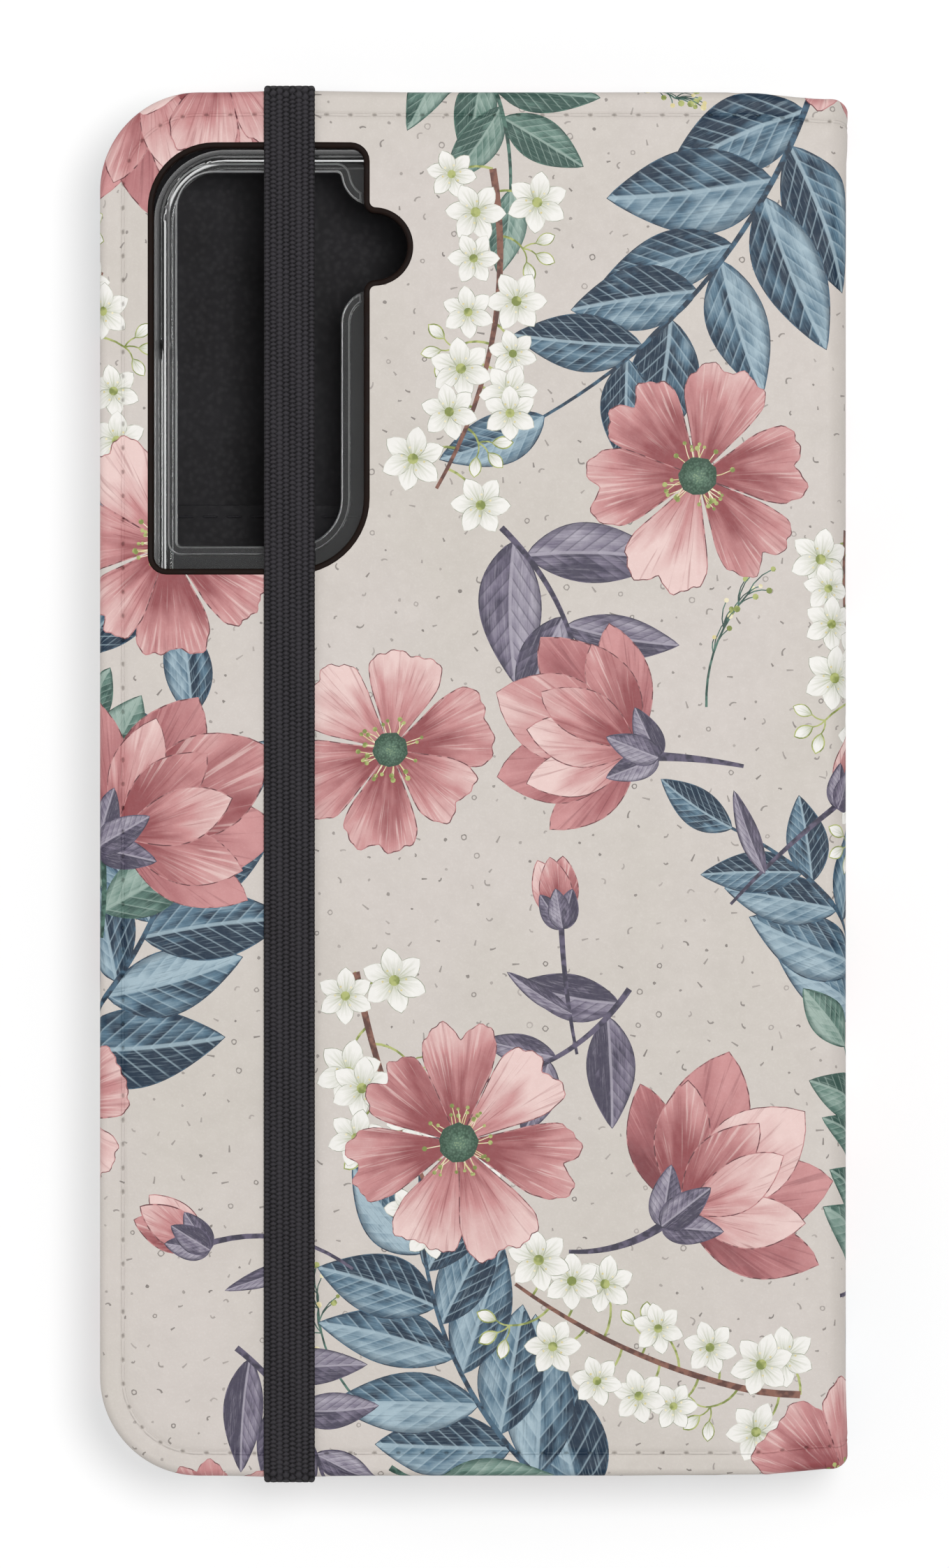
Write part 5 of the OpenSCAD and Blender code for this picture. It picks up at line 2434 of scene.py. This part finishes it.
@dataclass
class Inside(Assembly):
    """Boards, linings, pockets and pad, which keep their CAD shapes."""

    FINISHES = {
        Board(): ("front_board", "spine_board", "back_board"),
        Suede(): ("front_lining", "spine_lining", "back_lining"),
        PocketLeather(): ("slip_pocket", "card_pocket_1", "card_pocket_2", "card_pocket_3"),
        Foam(): ("shell_pad",),
    }
    #: how near to each other corners are joined, and the rounding of the sharp edges that the eye sees
    join: float = 0.03
    edge: float = 0.14
    #: the pieces that get it, and whether slivers would pinch it unless their split flat faces are made whole first
    SOFT = {"card_pocket_1": False, "card_pocket_2": False, "card_pocket_3": False,
            "slip_pocket": True, "front_lining": True, "back_lining": True}

    def build(self) -> None:
        """Gives every node its finish and the seen ones soft edges."""
        for finish, nodes in self.FINISHES.items():
            for node in nodes:
                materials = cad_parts[node].data.materials
                materials.clear()
                materials.append(finish.material())
        for node, whole in self.SOFT.items():
            self.soften(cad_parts[node], whole)

    def soften(self, obj: Object, whole: bool) -> None:
        """Joins a piece's faces and rounds its sharp edges, so that they catch the light.

        Args:
            obj: The piece.
            whole: Whether its split flat faces are made whole first.
        """
        weld = obj.modifiers.new("joined faces", "WELD")
        weld.merge_threshold = self.join * MM
        if whole:
            flat = obj.modifiers.new("whole faces", "DECIMATE")
            flat.decimate_type, flat.angle_limit = "DISSOLVE", math.radians(0.2)
        bevel = obj.modifiers.new("soft edges", "BEVEL")
        bevel.width, bevel.segments, bevel.limit_method = self.edge * MM, 3, "ANGLE"
        bevel.angle_limit, bevel.use_clamp_overlap, bevel.harden_normals = math.radians(50), True, True
# --- Studio ---


@dataclass
class Studio(Assembly):
    """White paper, one soft round key high on the upper right, a narrow strip on the left and the camera above."""

    #: half the paper's width, its distance below the case, and the height that the camera sees
    paper: float = 1500
    below: float = 0.08
    seen_h: float = 183.5
    #: share of the paper's look that shadows leave alone, its brightness, and the brightness of the surroundings
    glow: float = 0.48
    glow_power: float = 1.15
    around: float = 0.34

    def build(self) -> None:
        """Sets up paper, surroundings, two lights and the camera."""
        self.floor()
        self.world()
        self.light("key", (190, 125, 1090), (370, 370), 7.25)
        self.light("strip", (-620, 120, 520), (90, 700), 0.9)
        self.camera()

    def floor(self) -> None:
        """A wide sheet of paper just under the case. It looks lighter than it lights the case."""
        edge = np.linspace(-self.paper, self.paper, 13)
        x, y = np.meshgrid(edge, edge, indexing="ij")
        points = np.column_stack((x.ravel(), y.ravel(), np.full(x.size, -self.below)))
        obj = make_object("studio_floor", points, grid_faces(13, 13))
        graph = Graph("white studio paper")
        add = graph.add
        tone = add(Kind.RAMP, add(Kind.NOISE, add(Kind.PLACE), 3.0), stops=((0.0, "#F4F4F4"), (1.0, "#FFFFFF")))
        glow = add(Kind.GLOW, "#FFFFFF", self.glow_power)
        seen = add(Kind.CAMERA_RAY) * self.glow
        obj.data.materials.append(graph.ended(add(Kind.EITHER, seen, add(Kind.MATT, tone), glow)))

    def world(self) -> None:
        """Even white surroundings."""
        world = bpy.data.worlds.new("studio")
        bpy.context.scene.world = world
        world.use_nodes = True
        inputs = world.node_tree.nodes["Background"].inputs
        inputs["Color"].default_value, inputs["Strength"].default_value = (1, 1, 1, 1), self.around

    @staticmethod
    def light(name: str, place: Sequence[float], size: tuple[float, float], power: float) -> None:
        """An elliptical area light that looks at the case.

        Args:
            name: Its name.
            place: Where it is, in millimetres.
            size: Its width and height, in millimetres.
            power: Its power in watts.
        """
        data = bpy.data.lights.new(name, "AREA")
        data.shape, data.energy = "ELLIPSE", power
        data.size, data.size_y = metres(*size)
        obj = linked(name, data)
        obj.location = metres(*place)
        obj.rotation_euler = (-Vector(place)).to_track_quat("-Z", "Y").to_euler()

    def camera(self) -> None:
        """A long lens straight above the case."""
        data = bpy.data.cameras.new("camera")
        data.sensor_fit, data.sensor_height, data.lens, data.clip_end = "VERTICAL", 36, 250, 10
        obj = linked("camera", data)
        obj.location = metres(0.16, 0.0, self.sizes.case_t + self.seen_h * data.lens / data.sensor_height)
        bpy.context.scene.camera = obj


def main() -> None:
    """Builds the whole scene round the frame."""
    logging.basicConfig(level=logging.INFO, format="%(name)s: %(message)s")
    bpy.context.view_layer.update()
    sizes = CaseSizes.from_frame()
    bpy.context.scene.view_settings.view_transform = "Standard"
    for assembly in (PrintedCover, FoldLinings, WindowTrim, Strap, InnerSeams, ClearShell, Inside, Studio):
        assembly(sizes).build()


if __name__ == "__main__":
    main()
